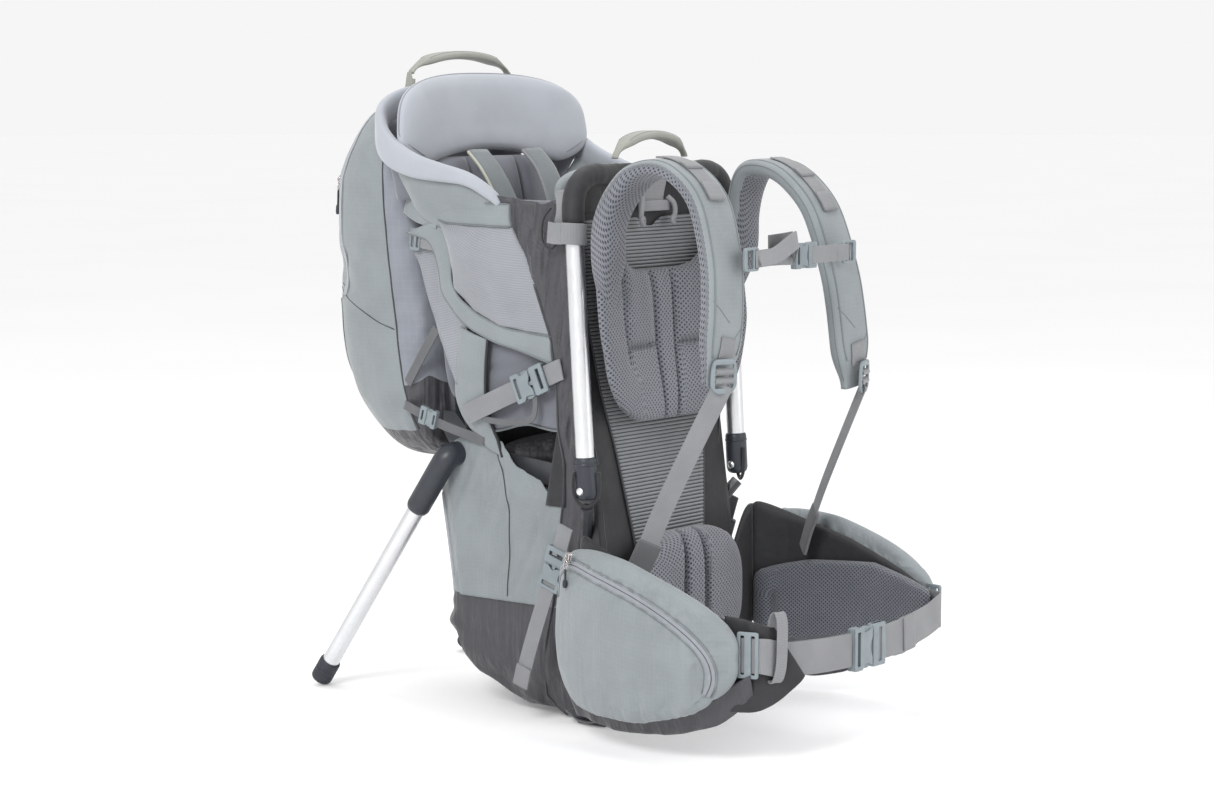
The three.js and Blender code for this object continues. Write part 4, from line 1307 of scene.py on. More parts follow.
def upper_side(side, label):
    """Shell cloth that flares from the pocket's height up to the padded rim."""
    path, width = rim_line()
    half = spline(np.hstack([path, width[:, None]])[:6], 50)
    top = half[:, :3].copy()
    top[:, 2] -= half[:, 3] * 0.2
    top[:, 0] += 4
    low = spline([(-133, 96, 566), (-136, 128, 566), (-139, 195, 562), (-140, 236, 574),
                  (-132, 264, 598)], 50)
    hand = np.array([-side, 1, 1])
    sheet, t = ruled(low * hand, top * hand, 22)
    bulge = np.sin(t * math.pi) * 4 + ripple(sheet[..., 1], sheet[..., 2], (60, 50), 41) * 1.5
    sheet[..., 0] += side * bulge
    cloth(f"upper_side_{label}", SHELL, sheet, 2.0, "shell_fabric", held="stretched")


def stretch_wedge(side, label):
    """Light stretch cloth between the day pack's gusset and the pocket border."""
    rear = spline([(262, 540), (248, 512), (232, 466), (206, 405), (196, 382)], 40)
    ahead = spline([(226, 545), (217, 520), (209, 489), (180, 452), (186, 390)], 40)
    flat, t = ruled(rear, ahead, 10)
    y, z = flat[..., 0], flat[..., 1]
    x = 133 - 3 * np.sin(t * math.pi) + ripple(y, z, (16, 90), 51) * 1.5
    cloth(f"stretch_wedge_{label}", POCKET_MESH, sided(side, x, y, z), 1.2, "shell_fabric",
          held="stretched")


def side_strut(side, label):
    """Padded strut from the pocket border down to the base, beside the leg opening."""
    rear = spline([(186, 450), (194, 405), (199, 370), (186, 338), (170, 318)], 40)
    ahead = spline([(146, 437), (151, 405), (153, 370), (148, 338), (138, 300)], 40)
    flat, t = ruled(rear, ahead, 12)
    y, z = flat[..., 0], flat[..., 1]
    x = profile([(300, 117.5), (320, 119), (345, 127), (450, 134)], z) + 4 * np.sin(t * math.pi)
    cloth(f"side_strut_{label}", SHELL, sided(side, x, y, z), 2.4, "shell_fabric")
    side_cord(f"side_strut_edge_{label}", edge_line(side, x, y, z, -1, 0.5), 2.0, BLACK, "black_fabric")


def inner_side(side, label):
    """Padded inside wall of the cockpit, seen under the pocket."""
    low_edge = [(24, 336), (60, 336), (100, 341), (140, 330), (192, 330)]

    def place(u, v):
        y = mix(24, 192, (u + 1) / 2)
        z = mix(profile(low_edge, y), 598, (v + 1) / 2)
        return np.stack([np.full_like(y, side * 119.0), y, z], -1)

    def thick(u, v):
        return 4 * edge(u, v, 10) * groove((v + 0.45) * 130, 5, 0.7)

    piece = pillow(place, thick, thick, (50, 60), 10).build(f"inner_side_{label}", [CUSHION_SHADE])
    fit(piece, "frame", "cushion_fabric", fill=0.4)
    y = np.linspace(30, 186, 40)
    line = spline(np.stack([np.full_like(y, side * 121.5), y, profile(low_edge, y) + 1], 1)[::4], 40)
    side_cord(f"inner_side_binding_{label}", line, 1.4, SHELL_DARK, "cushion_fabric")


def leg_flap(side, label):
    """Dark flap at the front of the leg opening."""
    t, s = grid((0, 1, 20), (0, 1, 6))
    y = mix(43, mix(72, 52, t), s)
    cloth(f"leg_flap_{label}", BLACK, np.stack([np.full_like(y, side * 120.1), y, mix(250, 350, t)], -1),
          1.0, "black_fabric", held="hung")


def side_straps(side, label):
    """Webbing and buckles on the side of the cockpit."""
    out = np.array([side, 0, 0.0])
    start, end = np.array([side * 137.4, 40, 408]), np.array([side * 137.4, 168, 352])
    along = unit(start - end)
    middle = (start + end) / 2
    buckle_at = middle + along * 30.7
    lower = spline([end + [0, 8, -5], end, mix(end, buckle_at, 0.5) + out * 1.5,
                    buckle_at - along * 20], 30)
    strap(f"compression_strap_web_{label}", "frame", lower, 24, up=out,
          replaces=[f"compression_strap_{label}"])
    strap(f"compression_strap_front_{label}", "frame",
          spline([buckle_at + along * 16, start, start + [0, -6, 2]], 16), 24, up=out)
    tail = side_spline(side, [(136, 150, 345), (138, 122, 344), (138, 92, 346), (138, 76, 352),
                              (138, 72, 366), (137, 74, 380)], 40)
    strap(f"compression_strap_tail_{label}", "frame", tail, 7, up=out, look=WEBBING_DARK)
    side_release(f"compression_buckle_{label}", "frame", buckle_at + out * 1.0, along, out, 24, 48)

    a, b = np.array([side * 126, 282, 352]), np.array([side * 124, 160, 318])
    thin = spline([a, mix(a, b, 0.5) + [side * 4, 0, -2], b], 40)
    strap(f"thin_strap_{label}", "frame", thin, 11, up=out, look=WEBBING_DARK)
    side_release(f"thin_buckle_{label}", "frame", mix(a, b, 0.33) + out * 5, unit(a - b), out, 12, 26)
    short = [("steep_strap", 12, 1.9, WEBBING_DARK, [(131, 226, 446), (131, 250, 412), (127, 276, 378)]),
             ("bridge_strap", 24, 2.6, SHELL, [(127, 276, 590), (138, 246, 580), (142, 214, 574)]),
             ("bridge_strap_low", 18, 1.9, WEBBING, [(127, 270, 552), (137, 245, 548), (140, 216, 545)])]
    for name, width, thick, look, points in short:
        slot = "shell_fabric" if look is SHELL else "webbing"
        path = side_spline(side, points, 30)
        strap(f"{name}_{label}", "frame", path, width, up=out, thick=thick, look=look, slot=slot)
    glide(f"bridge_glide_{label}", "frame", (side * 138, 252, 549), (0, 1, 0.1), out, 18, 15)


# ---- base ------------------------------------------------------------------------------------

BASE_BACK = [(9, 140), (40, 194), (90, 236), (140, 228), (190, 230), (262, 238)]
BASE_HALF = [(9, 98), (60, 111), (140, 116), (262, 114.5)]


def base_point(u, v, w):
    z = mix(BASE_LOW, BASE_HIGH, (w + 1) / 2)
    back = profile(BASE_BACK, z)
    half = profile(BASE_HALF, z)
    return np.stack([u * half, mix(36, back, (v + 1) / 2), z], -1)


def lower_compartment():
    def slot(u, v, w):
        return (mix(BASE_LOW, BASE_HIGH, (w + 1) / 2) < DARK_TOP).astype(int)

    surface = block((20, 20, 26), 9, base_point, slot)
    piece = surface.build("base_compartment", [SHELL_CREASED, CHARCOAL])

    def pins(x, y, z):
        seam_line = (np.abs(x) > 90) & (np.abs(y - 130) < 5.5)
        return seam_line | (np.abs(z - DARK_TOP) < 5.2) | (y < 44) | (z > 256) | (z < 8)

    inflate(piece, pins, 2.5, 0.08, 7)
    clamp_side(piece, BASE_LIMIT)
    subdivide(piece)
    fit(piece, "frame", "shell_fabric", ["lower_compartment"], 0.5)
    skin = Skin(piece)
    across = [(-114, y, DARK_TOP) for y in (50, 100, 150, 200)] + [(x, 236, DARK_TOP) for x in (-90, 0, 90)]
    across += [(114, y, DARK_TOP) for y in (200, 150, 100, 50)]
    seam("base_dark_seam", "frame", skin, spline(across, 140), 0.9)


def clamp_side(piece, most):
    """Keeps a piece's points within `most` millimetres of the middle plane, and off the ground."""
    points = read_points(piece).astype(float)
    points[:, 0] = np.clip(points[:, 0], -most * MM, most * MM)
    points[:, 2] = np.maximum(points[:, 2], GROUND_GAP * MM)
    write_points(piece, points)


def base_side(side, label):
    """Cloth over the side of the base, up to the leg opening and the strut."""
    t, s = grid((0, 1, 60), (0, 1, 60))
    crown = profile([(0, 256), (0.1, 256), (0.2, 277), (0.39, 292), (0.5, 318), (0.7, 322), (0.84, 318),
                     (1, 296)], s)
    z = mix(DARK_TOP - 1, crown, t)
    rear = smooth_profile([(133, 222), (190, 231), (262, 243), (300, 240), (330, 232)], z)
    y = mix(42, rear, s)
    turn = step(0.84, 1.0, s)
    fold = ripple(y + 0.5 * z, z, (22, 130), 61) * np.clip(4 * t, 0, 1) * np.clip(4 * (1 - s), 0, 1)
    x = 117.6 - 12 * turn**1.5 + 1.4 * fold
    piece = cloth(f"base_side_{label}", SHELL_CREASED, sided(side, np.minimum(x, SIDE_LIMIT), y, z),
                  1.4, "shell_fabric", held="stretched")
    skin = Skin(piece)
    line = side_spline(side, [(120, 149, 316), (120, 135, 272), (120, 127, 216), (118, 131, 138)], 50)
    seam(f"base_side_seam_{label}", "frame", skin, line, 0.7, lift=0.4, toward=(-side, 0, 0))
    line = np.stack([side * (x[::3, -1] + 0.6), y[::3, -1] - 1, z[::3, -1]], 1)
    side_cord(f"base_side_piping_{label}", spline(line[:15], 60), 2.0, PIPING, "shell_fabric")


def haul_handle(name, body, half, y, z, rise, node):
    """Padded webbing arch, widest in its middle."""
    angle = np.linspace(0, math.pi, 80)
    path = np.stack([-half * np.cos(angle), np.full(80, float(y)), z + rise * np.sin(angle) ** 1.25], 1)
    path = evenly(path, 90)
    reach = np.abs(np.linspace(-1, 1, 90))
    wide = 9 + 15 * step(0.92, 0.5, reach)
    thick = 3.5 + 6.5 * step(0.92, 0.6, reach)
    section = ovals(wide, thick, 2.8, 24)
    piece = swept(name, HANDLE_WEB, path, section, body, "webbing", across=(0, 1, 0), replaces=[node],
                  fill=0.6)
    skin = Skin(piece)
    for end in (-1, 1):
        line = path[14:-14] + np.array([0, end * 9.0, 8])
        points, normals = skin.lay(line, 0.15)
        face = "back" if end > 0 else "front"
        stitches(f"{name}_thread_{face}", body, points, normals, WEBBING_DARK)


def handle_roots():
    """Webbing that holds the rear handle's ends, down behind the headrest."""
    for label, side in SIDES.items():
        root = side_spline(side, [(93, 296, 692), (93, 301, 712), (90, 302, 726), (88, 302, 735)], 24)
        section = ovals(np.linspace(22, 12, 24), 4.4, 4, 20)
        surface = Surface()
        sweep(surface, root, section, across=(0, 1, 0))
        tab = side_spline(side, [(91.6, 302, 718), (91.2, 302, 731), (91.0, 302, 743)], 12)
        section = ovals(13 - 7 * np.linspace(0, 1, 12) ** 2, 1.5, 4, 20)
        sweep(surface, tab, section, across=(0, 1, 0))
        fit(surface.build(f"rear_handle_root_{label}", [HANDLE_WEB]), "frame", "webbing")


def frame_corner(side, label):
    """Cloth that closes the corner between the upright and the top bar."""
    u, v = grid((0, 1, 16), (0, 1, 16))
    x, rise = mix(92, UPRIGHT_X, u), mix(586, UPRIGHT_TOP, v)
    bend_x, bend_z = UPRIGHT_X - TOP_BEND, UPRIGHT_TOP - TOP_BEND
    over = np.maximum(np.stack([x - bend_x, rise - bend_z], -1), 0)
    far = np.maximum(np.linalg.norm(over, axis=-1), 1e-6)
    pull = np.minimum(1, (TOP_BEND - 1) / far)
    x = np.where(x > bend_x, bend_x + over[..., 0] * pull, x)
    rise = np.where(rise > bend_z, bend_z + over[..., 1] * pull, rise)
    cloth(f"frame_corner_{label}", BLACK, np.stack([side * x, upright_y(rise) + 1, rise], -1), 1.6,
          "black_fabric", held="stretched")


# ---- back panel and lumbar pad ---------------------------------------------------------------

PANEL_FRONT = [(0, -10), (200, -16), (296, -4), (381, 10), (478, 16), (620, 16)]


def smooth_profile(pairs, at, reach=18):
    """The profile with its corners rounded over `reach` millimetres."""
    shifts = np.linspace(-reach, reach, 9)
    return sum(profile(pairs, at + k) for k in shifts) / len(shifts)


def back_panel():
    z, u = grid((26, 624, 90), (-1, 1, 40))
    half = profile([(24, 102), (66, 106), (90, 125), (300, 125), (600, 128)], z)
    y = smooth_profile(PANEL_FRONT, z) + 3 + ripple(u * half, z, (60, 200), 71) * 0.8
    cloth("back_panel_cloth", BLACK, np.stack([u * half, y, z], -1), 3, "black_fabric",
          replaces=["back_panel"])

    z, u = grid((186, 578, 700), (-1, 1, 26))
    half = profile([(185, 62), (328, 86), (489, 121), (600, 123)], z)
    dip = 12 * np.exp(-((u * half / 16) ** 2)) * step(560, 578, z)
    ribs = 0.6 * np.cos((z - dip) * 2 * math.pi / 4.2)
    face = smooth_profile(PANEL_FRONT, z)
    y = face - 0.6 - ribs
    cloth("back_tension_mesh", BACK_MESH, np.stack([u * half, y, z - dip], -1), 0.8, "air_mesh")
    for label, side in SIDES.items():
        line = edge_line(side, half, face - 0.8, z, 0, 0.5)
        cord_line(f"back_mesh_edge_{label}", "frame", line[::12], 1.3, SEAM, "black_fabric", up=FORWARD)


def lumbar_pad():
    def place(u, v):
        z = mix(76, 220, (v + 1) / 2)
        narrow = 1 - 0.26 * np.clip(v, 0, 1) ** 2
        return np.stack([u * 112 * narrow, -29 - 3 * (1 - u * u), z], -1)

    def front(u, v):
        return 26 * edge(u, v, 4.0, 2.6) * groove(np.abs(u * 112) - 20, 3.8, 0.8)

    surface = pillow(place, front, lambda u, v: 1.5 * edge(u, v, 4.0), (110, 60), 4.0)
    pad(surface, "lumbar_cushion", [AIR_MESH], "air_mesh", "lumbar_pad")


def belt_band():
    u, w = grid((-1, 1, 60), (0, 1, 14))
    side_part = step(0.6, 1.0, np.abs(u))
    y = -24 - 1.5 * np.sin(w * math.pi) + 7 * side_part
    cloth("belt_band_cloth", BLACK,
          np.stack([u * 162, y, mix(84 - 6 * side_part, 168 + 60 * side_part, w)], -1), 4, "black_fabric",
          replaces=["hip_belt_band"])


# ---- hip belt --------------------------------------------------------------------------------


def wing_point(side, t, out, z):
    t = np.asarray(t, float)[..., None]
    a, b, c = WING_LINE
    at = (1 - t) ** 2 * a + 2 * t * (1 - t) * b + t**2 * c
    along = unit(2 * (1 - t) * (b - a) + 2 * t * (c - b))
    x = at[..., 0] - along[..., 1] * out
    y = at[..., 1] + along[..., 0] * out
    return np.stack([side * x, y, np.broadcast_to(z, x.shape)], -1)


WING_LOW = [(0, 78), (0.5, 70), (0.8, 82), (1, 104)]
WING_HIGH = [(0, 236), (0.25, 214), (0.5, 194), (0.8, 164), (0.95, 146), (1, 138)]


def hip_wing(side, label):
    def shell(u, v):
        t = (u + 1) / 2
        z = mix(profile(WING_LOW, t), smooth_profile(WING_HIGH, t, 0.05), (v + 1) / 2)
        return wing_point(side, t, 15.5, z)

    def thick(u, v):
        return 3.6 * edge(u, v, 14)

    piece = pillow(shell, thick, thick, (50, 26), 14).build(f"hip_wing_shell_{label}", [BLACK])
    fit(piece, "frame", "black_fabric", [f"hip_wing_{label}"], 0.5)

    def cushion(u, v):
        t = mix(0.02, 0.99, (u + 1) / 2)
        low = profile([(0, 74), (0.25, 66), (0.8, 90), (1, 112)], t)
        high = profile([(0, 150), (0.3, 166), (0.65, 171), (1, 150)], t)
        return wing_point(side, t, 9.5, mix(low, high, (v + 1) / 2))

    def inner(u, v):
        dart = 1 - 0.75 * np.exp(-(((u + 0.78) * 120 / 4) ** 2)) * step(0.35, 0.1, v)
        return 12 * edge(u, v, 8, 3.2) * dart

    def outer(u, v):
        return 2.0 * edge(u, v, 8)

    faces = (inner, outer) if side > 0 else (outer, inner)
    pad(pillow(cushion, *faces, (80, 36), 8), f"hip_wing_pad_{label}", [AIR_MESH_FINE], "air_mesh")


POCKET_LOW = [(0, 44), (0.08, 40), (0.45, 40), (0.75, 58), (1, 98)]
POCKET_HIGH = [(0, 232), (0.4, 216), (0.8, 180), (1, 150)]


def pocket_place(side, u, v, w):
    along = mix(-0.02, 0.9, (u + 1) / 2)
    t = np.clip(along, 0, 1)
    out = WING_THICK + 1 + (v + 1) * 14
    z = mix(smooth_profile(POCKET_LOW, t, 0.05), smooth_profile(POCKET_HIGH, t, 0.05), (w + 1) / 2)
    place = wing_point(side, t, out, z)
    place[..., 1] += (t - along) * 60
    pleat = np.sin(u * 27 + 1.4 * np.sin(u * 8)) * np.exp(-(((w + 0.9) / 0.5) ** 2)) * step(-0.3, 0.4, u)
    place[..., 0] += side * 3.4 * pleat * step(0, 0.8, v)
    return place


def hip_pocket(side, label):
    surface = block((60, 6, 36), 3.6, lambda u, v, w: pocket_place(side, u, v, w))
    zip_line = pocket_zip_line(side)
    hem = pocket_line(side, [(u, 0.2, -0.97) for u in np.linspace(-0.8, 0.85, 20)])
    anchors = np.vstack([zip_line, hem])
    root_y, tip_y = WING_LINE[0][1], WING_LINE[2][1]

    def pins(x, y, z):
        points = np.stack([x, y, z], 1)
        far = np.linalg.norm(points[:, None] - anchors[None], axis=2).min(1)
        back = pocket_depth(side, points) < WING_THICK + 3
        share = np.clip((root_y - y) / (root_y - tip_y), 0, 1)
        top = z > smooth_profile(POCKET_HIGH, share, 0.05) - 9
        return (far < 4.0) | back | top

    skin = Skin(pad(surface, f"hip_pocket_pouch_{label}", [SHELL_CREASED], "shell_fabric",
                    f"hip_pocket_{label}", 0.45, puff=(pins, 2.0, 0.06, 6)))
    tape(f"hip_pocket_zip_{label}", skin, zip_line, 9, ZIP_TAPE, split=0.8)
    middle, normals = skin.lay(zip_line)
    side_way = unit(np.cross(unit(np.gradient(middle, axis=0)), normals))
    for end in (-1, 1):
        seam(f"hip_pocket_zip_seam_{label}_{'upper' if end > 0 else 'lower'}", "frame", skin,
             middle + side_way * end * 7.0, 0.6, SHELL_DARK, lift=0.5)


def pocket_depth(side, points):
    """Rough distance of points from the wing's inner face."""
    t = np.linspace(0, 1, 60)
    line = wing_point(side, t, 0, 0)[:, :2]
    gap = np.linalg.norm(points[:, None, :2] - line[None], axis=2)
    return gap.min(1)


def pocket_line(side, places):
    return np.array([pocket_place(side, *p) for p in places])


def pocket_zip_line(side):
    """From the slider at the rear along the pocket's top and down round its front."""
    places = [(-0.93, 0.75, 0.30), (-0.9, 0.9, 0.60), (-0.74, 0.95, 0.74), (-0.4, 1.0, 0.72),
              (0.0, 1.0, 0.66), (0.35, 1.0, 0.56), (0.62, 0.95, 0.34), (0.78, 0.9, 0.0),
              (0.82, 0.85, -0.4), (0.78, 0.8, -0.72)]
    return spline(pocket_line(side, places), 90)


HEM_LOW = {"right": [(0, 26), (0.3, 21), (0.6, 29), (0.85, 50), (1, 64)],
           "left": [(0, 26), (0.3, 21), (0.5, 34), (0.75, 84), (1, 104)]}


def hip_hem(side, label):
    """Charcoal skirt under the pocket."""
    t, w = grid((-0.01, 0.95, 60), (0, 1, 12))
    low = smooth_profile(HEM_LOW[label], t, 0.06) + 15 * step(0.78, 0.95, t)
    high = np.maximum(smooth_profile(POCKET_LOW, np.clip(t, 0, 1), 0.05) + 16, low + 4)
    out = mix(17, 30, w) + ripple(t * 200, w * 20, (24, 60), 81) * 2.0
    sheet = wing_point(side, t, out, mix(low, high, w))
    cloth(f"hip_hem_{label}", CHARCOAL, sheet, 1.6, "charcoal_fabric", held="hung")


def belt_face(x):
    """Y of the belt webbing's middle."""
    return BELT_Y + smooth_profile([(0, 0), (90, 4), (150, 12), (BELT_BOW, 18)], np.abs(x), 20)


def belt_height(x):
    return BELT_Z + 9 * (x / BELT_BOW) ** 2


def belt_line(x0, x1, count=40, forward=0.0):
    x = np.linspace(x0, x1, count)
    return np.stack([x, belt_face(x) - 1 - forward, belt_height(x)], 1)


def belt_end(side, height):
    """The belt webbing's way round the wing's tip, from its adjuster to the front."""
    tip = [wing_point(side, t, out, height) for t, out in ((0.88, 24), (0.95, 25), (0.995, 22))]
    front = [(side * x, float(belt_face(x)) - 1, belt_height(x)) for x in (150, 125, 100)]
    return tip + front


def hip_belt():
    for label, side, inner in (("near", -1, 30), ("far", 1, 69)):
        line = spline(belt_end(side, 126) + [tuple(p) for p in belt_line(side * 80, side * inner, 5)], 90)
        node = "right" if side < 0 else "left"
        strap(f"belt_webbing_{label}", "frame", line, BELT_HEIGHT, across=UPWARD,
              replaces=[f"belt_webbing_{node}"])
        at, ahead = (wing_point(side, t, 27, 127) for t in (0.935, 0.955))
        out = np.cross((0, 0, side), unit(ahead - at))
        glide(f"belt_adjuster_{label}", "frame", at, unit(ahead - at), out, BELT_HEIGHT + 4, 24)
        back = [wing_point(side, t, 23.5, 124) for t in (0.80, 0.86, 0.91)]
        strap(f"belt_anchor_{label}", "frame", spline(back, 14), BELT_HEIGHT + 2, across=UPWARD,
              look=BLACK, slot="black_fabric", thick=3)
    strap("belt_webbing_layer", "frame", belt_line(-152, -34, 50, 2.4), BELT_HEIGHT - 1, up=FORWARD)
    strap("belt_webbing_male", "belt_male", belt_line(16, 96, 30, 2.6), BELT_HEIGHT, up=FORWARD)
    fold = belt_line(72, 97, 12, 5.0)
    strap("belt_webbing_fold", "belt_male", fold, BELT_HEIGHT + 1, up=FORWARD, thick=2.2)
    mouth = (2, BELT_Y - 1, BELT_Z)
    for half, body in (("female", "frame"), ("male", "belt_male")):
        piece = side_release(f"belt_buckle_{half}_moulded", body, mouth, (1, 0, 0), FORWARD, BELT_HEIGHT,
                             62, half)
        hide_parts(f"belt_buckle_{half}")
    root = [tuple(wing_point(-1, t, 18, 0)) for t in (0.82, 0.9, 0.96)]
    points = spline(root + [(-152, -276, 0), (-144, -283, 0)], 30)
    reach = np.linspace(0, 1, 30)
    low, high = 62 + 34 * reach**3.2, 166 - 7 * reach
    points[:, 2] = (low + high) / 2
    section = ovals(high - low, 4.5, 6, 24)
    swept("belt_tongue", BLACK, points, section, "frame", "black_fabric", across=UPWARD, fill=0.4)
    turn = np.linspace(0, 2 * math.pi, 70)
    tall = 37 * np.sign(np.sin(turn)) * np.abs(np.sin(turn)) ** 0.6
    loop = np.stack([-158 + 3 * np.sin(turn), float(belt_face(158)) - 2 + 7 * np.cos(turn),
                     BELT_Z + 21 + tall], 1)
    swept("belt_keeper", WEBBING, loop, oval(14, 1.6, 6, 20), "frame", "webbing", across=(1, -0.35, 0))


# ---- shoulder harness ------------------------------------------------------------------------


def strap_drop(label, y):
    return STRAP_SAG[label] * np.clip((-y - 60) / 110, 0, 1)


def strap_line(side, label, count=120):
    flat = spline(STRAP_PATH, count)
    y, z = flat[:, 0], flat[:, 1]
    rising = profile([(468, 116), (505, 123), (538, 129), (575, 129), (606, 120), (630, 110)], z)
    falling = profile([(404, 138), (462, 125), (545, 115), (603, 110)], z)
    x = np.where(y < -130, falling, np.where(y > -60, rising, 108.0))
    x = np.convolve(np.pad(x, 6, mode="edge"), np.ones(13) / 13, mode="valid")
    return np.stack([side * x, y, z - strap_drop(label, y)], 1)


def shoulder_strap(side, label):
    line = strap_line(side, label)
    share = np.linspace(0, 1, len(line))
    root = step(0, 0.16, share)
    wide = STRAP_WIDTH * mix(0.3, mix(0.66, 1, step(0.2, 0.44, share)), root)
    wide = wide * (1 - 0.42 * step(0.88, 1.0, share) ** 1.3)
    thick = STRAP_THICK * mix(0.5, mix(1.3, 1, step(0.2, 0.4, share)), root)
    thick = thick * (1 - 0.45 * step(0.9, 1.0, share))
    base = oval(1, 1, 3.4, 40)
    section = np.stack([base * [w, t] for w, t in zip(wide, thick)])
    section[..., 1] -= 1.2 * (1 - (section[..., 0] / (wide[:, None] / 2)) ** 2) * (section[..., 1] < 0)
    middle = (base + np.roll(base, -1, 0)) / 2
    line_of_cut = mix(0.6, 0.22, step(0.16, 0.34, share[1:]))
    inner_edge = 0.75 * step(0.3, 0.47, -side * middle[:, 0])
    slot = (middle[None, :, 1] < line_of_cut[:, None] - inner_edge[None, :]).astype(int)
    surface = Surface()
    sweep(surface, line, section, across=X_AXIS, slot=slot)
    piece = surface.build(f"shoulder_strap_pad_{label}", [SHELL, AIR_MESH])
    fit(piece, "yoke", "shell_fabric", [f"shoulder_strap_{label}"], 0.6)
    skin = Skin(piece)

    along = unit(np.gradient(line, axis=0))
    out = unit(np.cross(along, np.broadcast_to(X_AXIS, line.shape)))
    for hand, end in ENDS:
        rail = line + np.array([end, 0, 0]) * (wide * 0.5 - 7)[:, None] + out * 11
        points, normals = skin.lay(rail[34:-8], 0.2)
        swept(f"shoulder_rail_{label}_{hand}", SHELL_DARK, points,
              oval(2.6, 1.4, 2, 10), "yoke", "shell_fabric", up=normals)
        border = line + np.array([end, 0, 0]) * (wide * 0.5)[:, None] + out * (thick * 0.16)[:, None]
        points, _ = skin.lay(border[30:-2], 0.0)
        cord_line(f"shoulder_piping_{label}_{hand}", "yoke", points, 0.7,
                  SHELL_DARK, "shell_fabric", up=(0.2, 0.3, 1))

    lifter = line[50:71] + out[50:71] * 12
    points, normals = skin.lay(lifter, 1.6)
    surface = Surface()
    sweep(surface, points, oval(25, 2, 7, 24), up=normals)
    for low, high in ((15, 22), (7, 11)):
        layer = slice(low, high)
        sweep(surface, points[layer] + normals[layer] * 1.8, oval(27, 2, 7, 24), up=normals[layer])
    fit(surface.build(f"load_lifter_{label}", [WEBBING]), "yoke", "webbing")
    for (hand, end), reach in zip(ENDS, (96, 103)):
        rise = line[reach] + np.array([end * 28.0, 0, 0]) + out[reach] * 8
        fall = line[reach + 6] + out[reach + 6] * 10
        seam(f"shoulder_end_seam_{label}_{hand}", "yoke", skin,
             np.linspace(rise, fall, 16), 0.6, SHELL_DARK)
    tab = line[106:113] + out[106:113] * 9
    points, normals = skin.lay(tab, 1.2)
    swept(f"shoulder_end_tab_{label}", WEBBING, points, oval(25, 2.2, 7, 24), "yoke", "webbing",
          up=normals)


def strap_end(side, label):
    """Ladder lock, the webbing in it and the webbing down to the hip belt."""
    at = np.array([side * 138, LOCK_Y + 3, LOCK_Z - STRAP_SAG[label]])
    lean = unit([side * 0.3, -0.95, -0.05])
    half_w, half_l = 17, 19
    rim = [(-half_l, -half_w * 0.82), (-half_l * 0.4, -half_w), (half_l * 0.6, -half_w),
           (half_l, -half_w * 0.6)]
    outer = corners(rim + mirrored(rim), 5)
    slots = [slab((c - 2.3, c + 2.3), (-12.2, 12.2), 1.4) for c in (-10.5, 0.5, 10.5)]
    parts = [(plate([outer] + slots, 3.6, 0.9), 0)]
    way = unit([0, 0.05, -1])
    lock = assemble(f"ladder_lock_moulded_{label}", parts, BUCKLE, at + lean * 1.5, way, lean)
    fit(lock, "yoke", "buckle_plastic", [f"ladder_lock_{label}"])
    for end in (-1, 1):
        bar = spline([at + way * end * 8, at + way * end * 6.5 + lean * 4, at + way * end * 3.5 + lean * 4,
                      at + way * end * 1.5], 14)
        swept(f"lock_webbing_{label}_{'lower' if end > 0 else 'upper'}", WEBBING, bar,
              oval(24, 1.8, 7, 24), "yoke", "webbing", across=np.cross(way, lean))
    start = at + way * 9 + lean * 2
    finish = np.array([side * 164, -100, 208])
    path = spline([start, mix(start, finish, 0.3) + [side * 1.0, 2, 0],
                   mix(start, finish, 0.7) + [side, 3, 0], finish, finish + [side * 4, 12, -30]], 60)
    strap(f"lower_shoulder_webbing_{label}", ("frame", "yoke", finish, start), path, 22,
          up=unit([side * 0.72, -0.69, 0]), replaces=[f"lower_webbing_{label}"])
    rise = unit(start - finish)
    anchor = spline([finish + [side * 4, 12, -30], finish, finish + rise * 24], 24)
    strap(f"lower_webbing_anchor_{label}", "frame", anchor, 27, up=unit([side * 0.72, -0.69, 0]), thick=4.6,
          look=WEBBING_DARK)


def yoke_pad():
    def centre(z):
        return smooth_profile([(346, -14), (431, 0), (528, 6), (580, 6)], z)

    def wrap(z):
        return smooth_profile([(346, 10), (440, 26), (528, 22), (580, 20)], z)

    def place(u, v):
        half = smooth_profile([(346, 92), (365, 108), (400, 126), (458, 140), (560, 142)],
                              mix(YOKE_LOW, 540, (v + 1) / 2), 14)
        side_lift = 34 * step(0.42, 0.82, np.abs(u)) * step(0.2, 1.0, v)
        bowl = -14 * np.exp(-((u / 0.5) ** 4)) * step(0.3, 1.0, v)
        z = mix(YOKE_LOW, YOKE_HIGH, (v + 1) / 2) + side_lift + bowl
        return np.stack([u * half, centre(z) - wrap(z) * u * u, z], -1)

    def front(u, v):
        z = mix(YOKE_LOW, YOKE_HIGH, (v + 1) / 2)
        x = u * 135
        far = np.abs(x)
        channels = 1.0
        for at in (-1, 1):
            channels = channels * groove(x - at * (17 + (z - YOKE_LOW) * 0.01), 3.6, 0.78)
            channels = channels * (1 - 0.5 * np.exp(-(((x - at * 86) / 3.6) ** 2)) * step(400, 430, z))
        level = 1 - 0.7 * np.exp(-(((z - 432) / 4.0) ** 2)) * step(20, 30, far) * step(88, 80, far)
        puff = 1 + 0.25 * step(22, 40, far) * step(86, 70, far) * step(432, 450, z)
        return 12 * edge(u, v, 5, 2.8) * channels * level * puff

    surface = pillow(place, front, lambda u, v: 6 * edge(u, v, 5), (130, 104), 5)
    piece = surface.build("yoke_cushion", [AIR_MESH])
    fit(piece, "yoke", "air_mesh", ["yoke_back_pad"], 0.65)


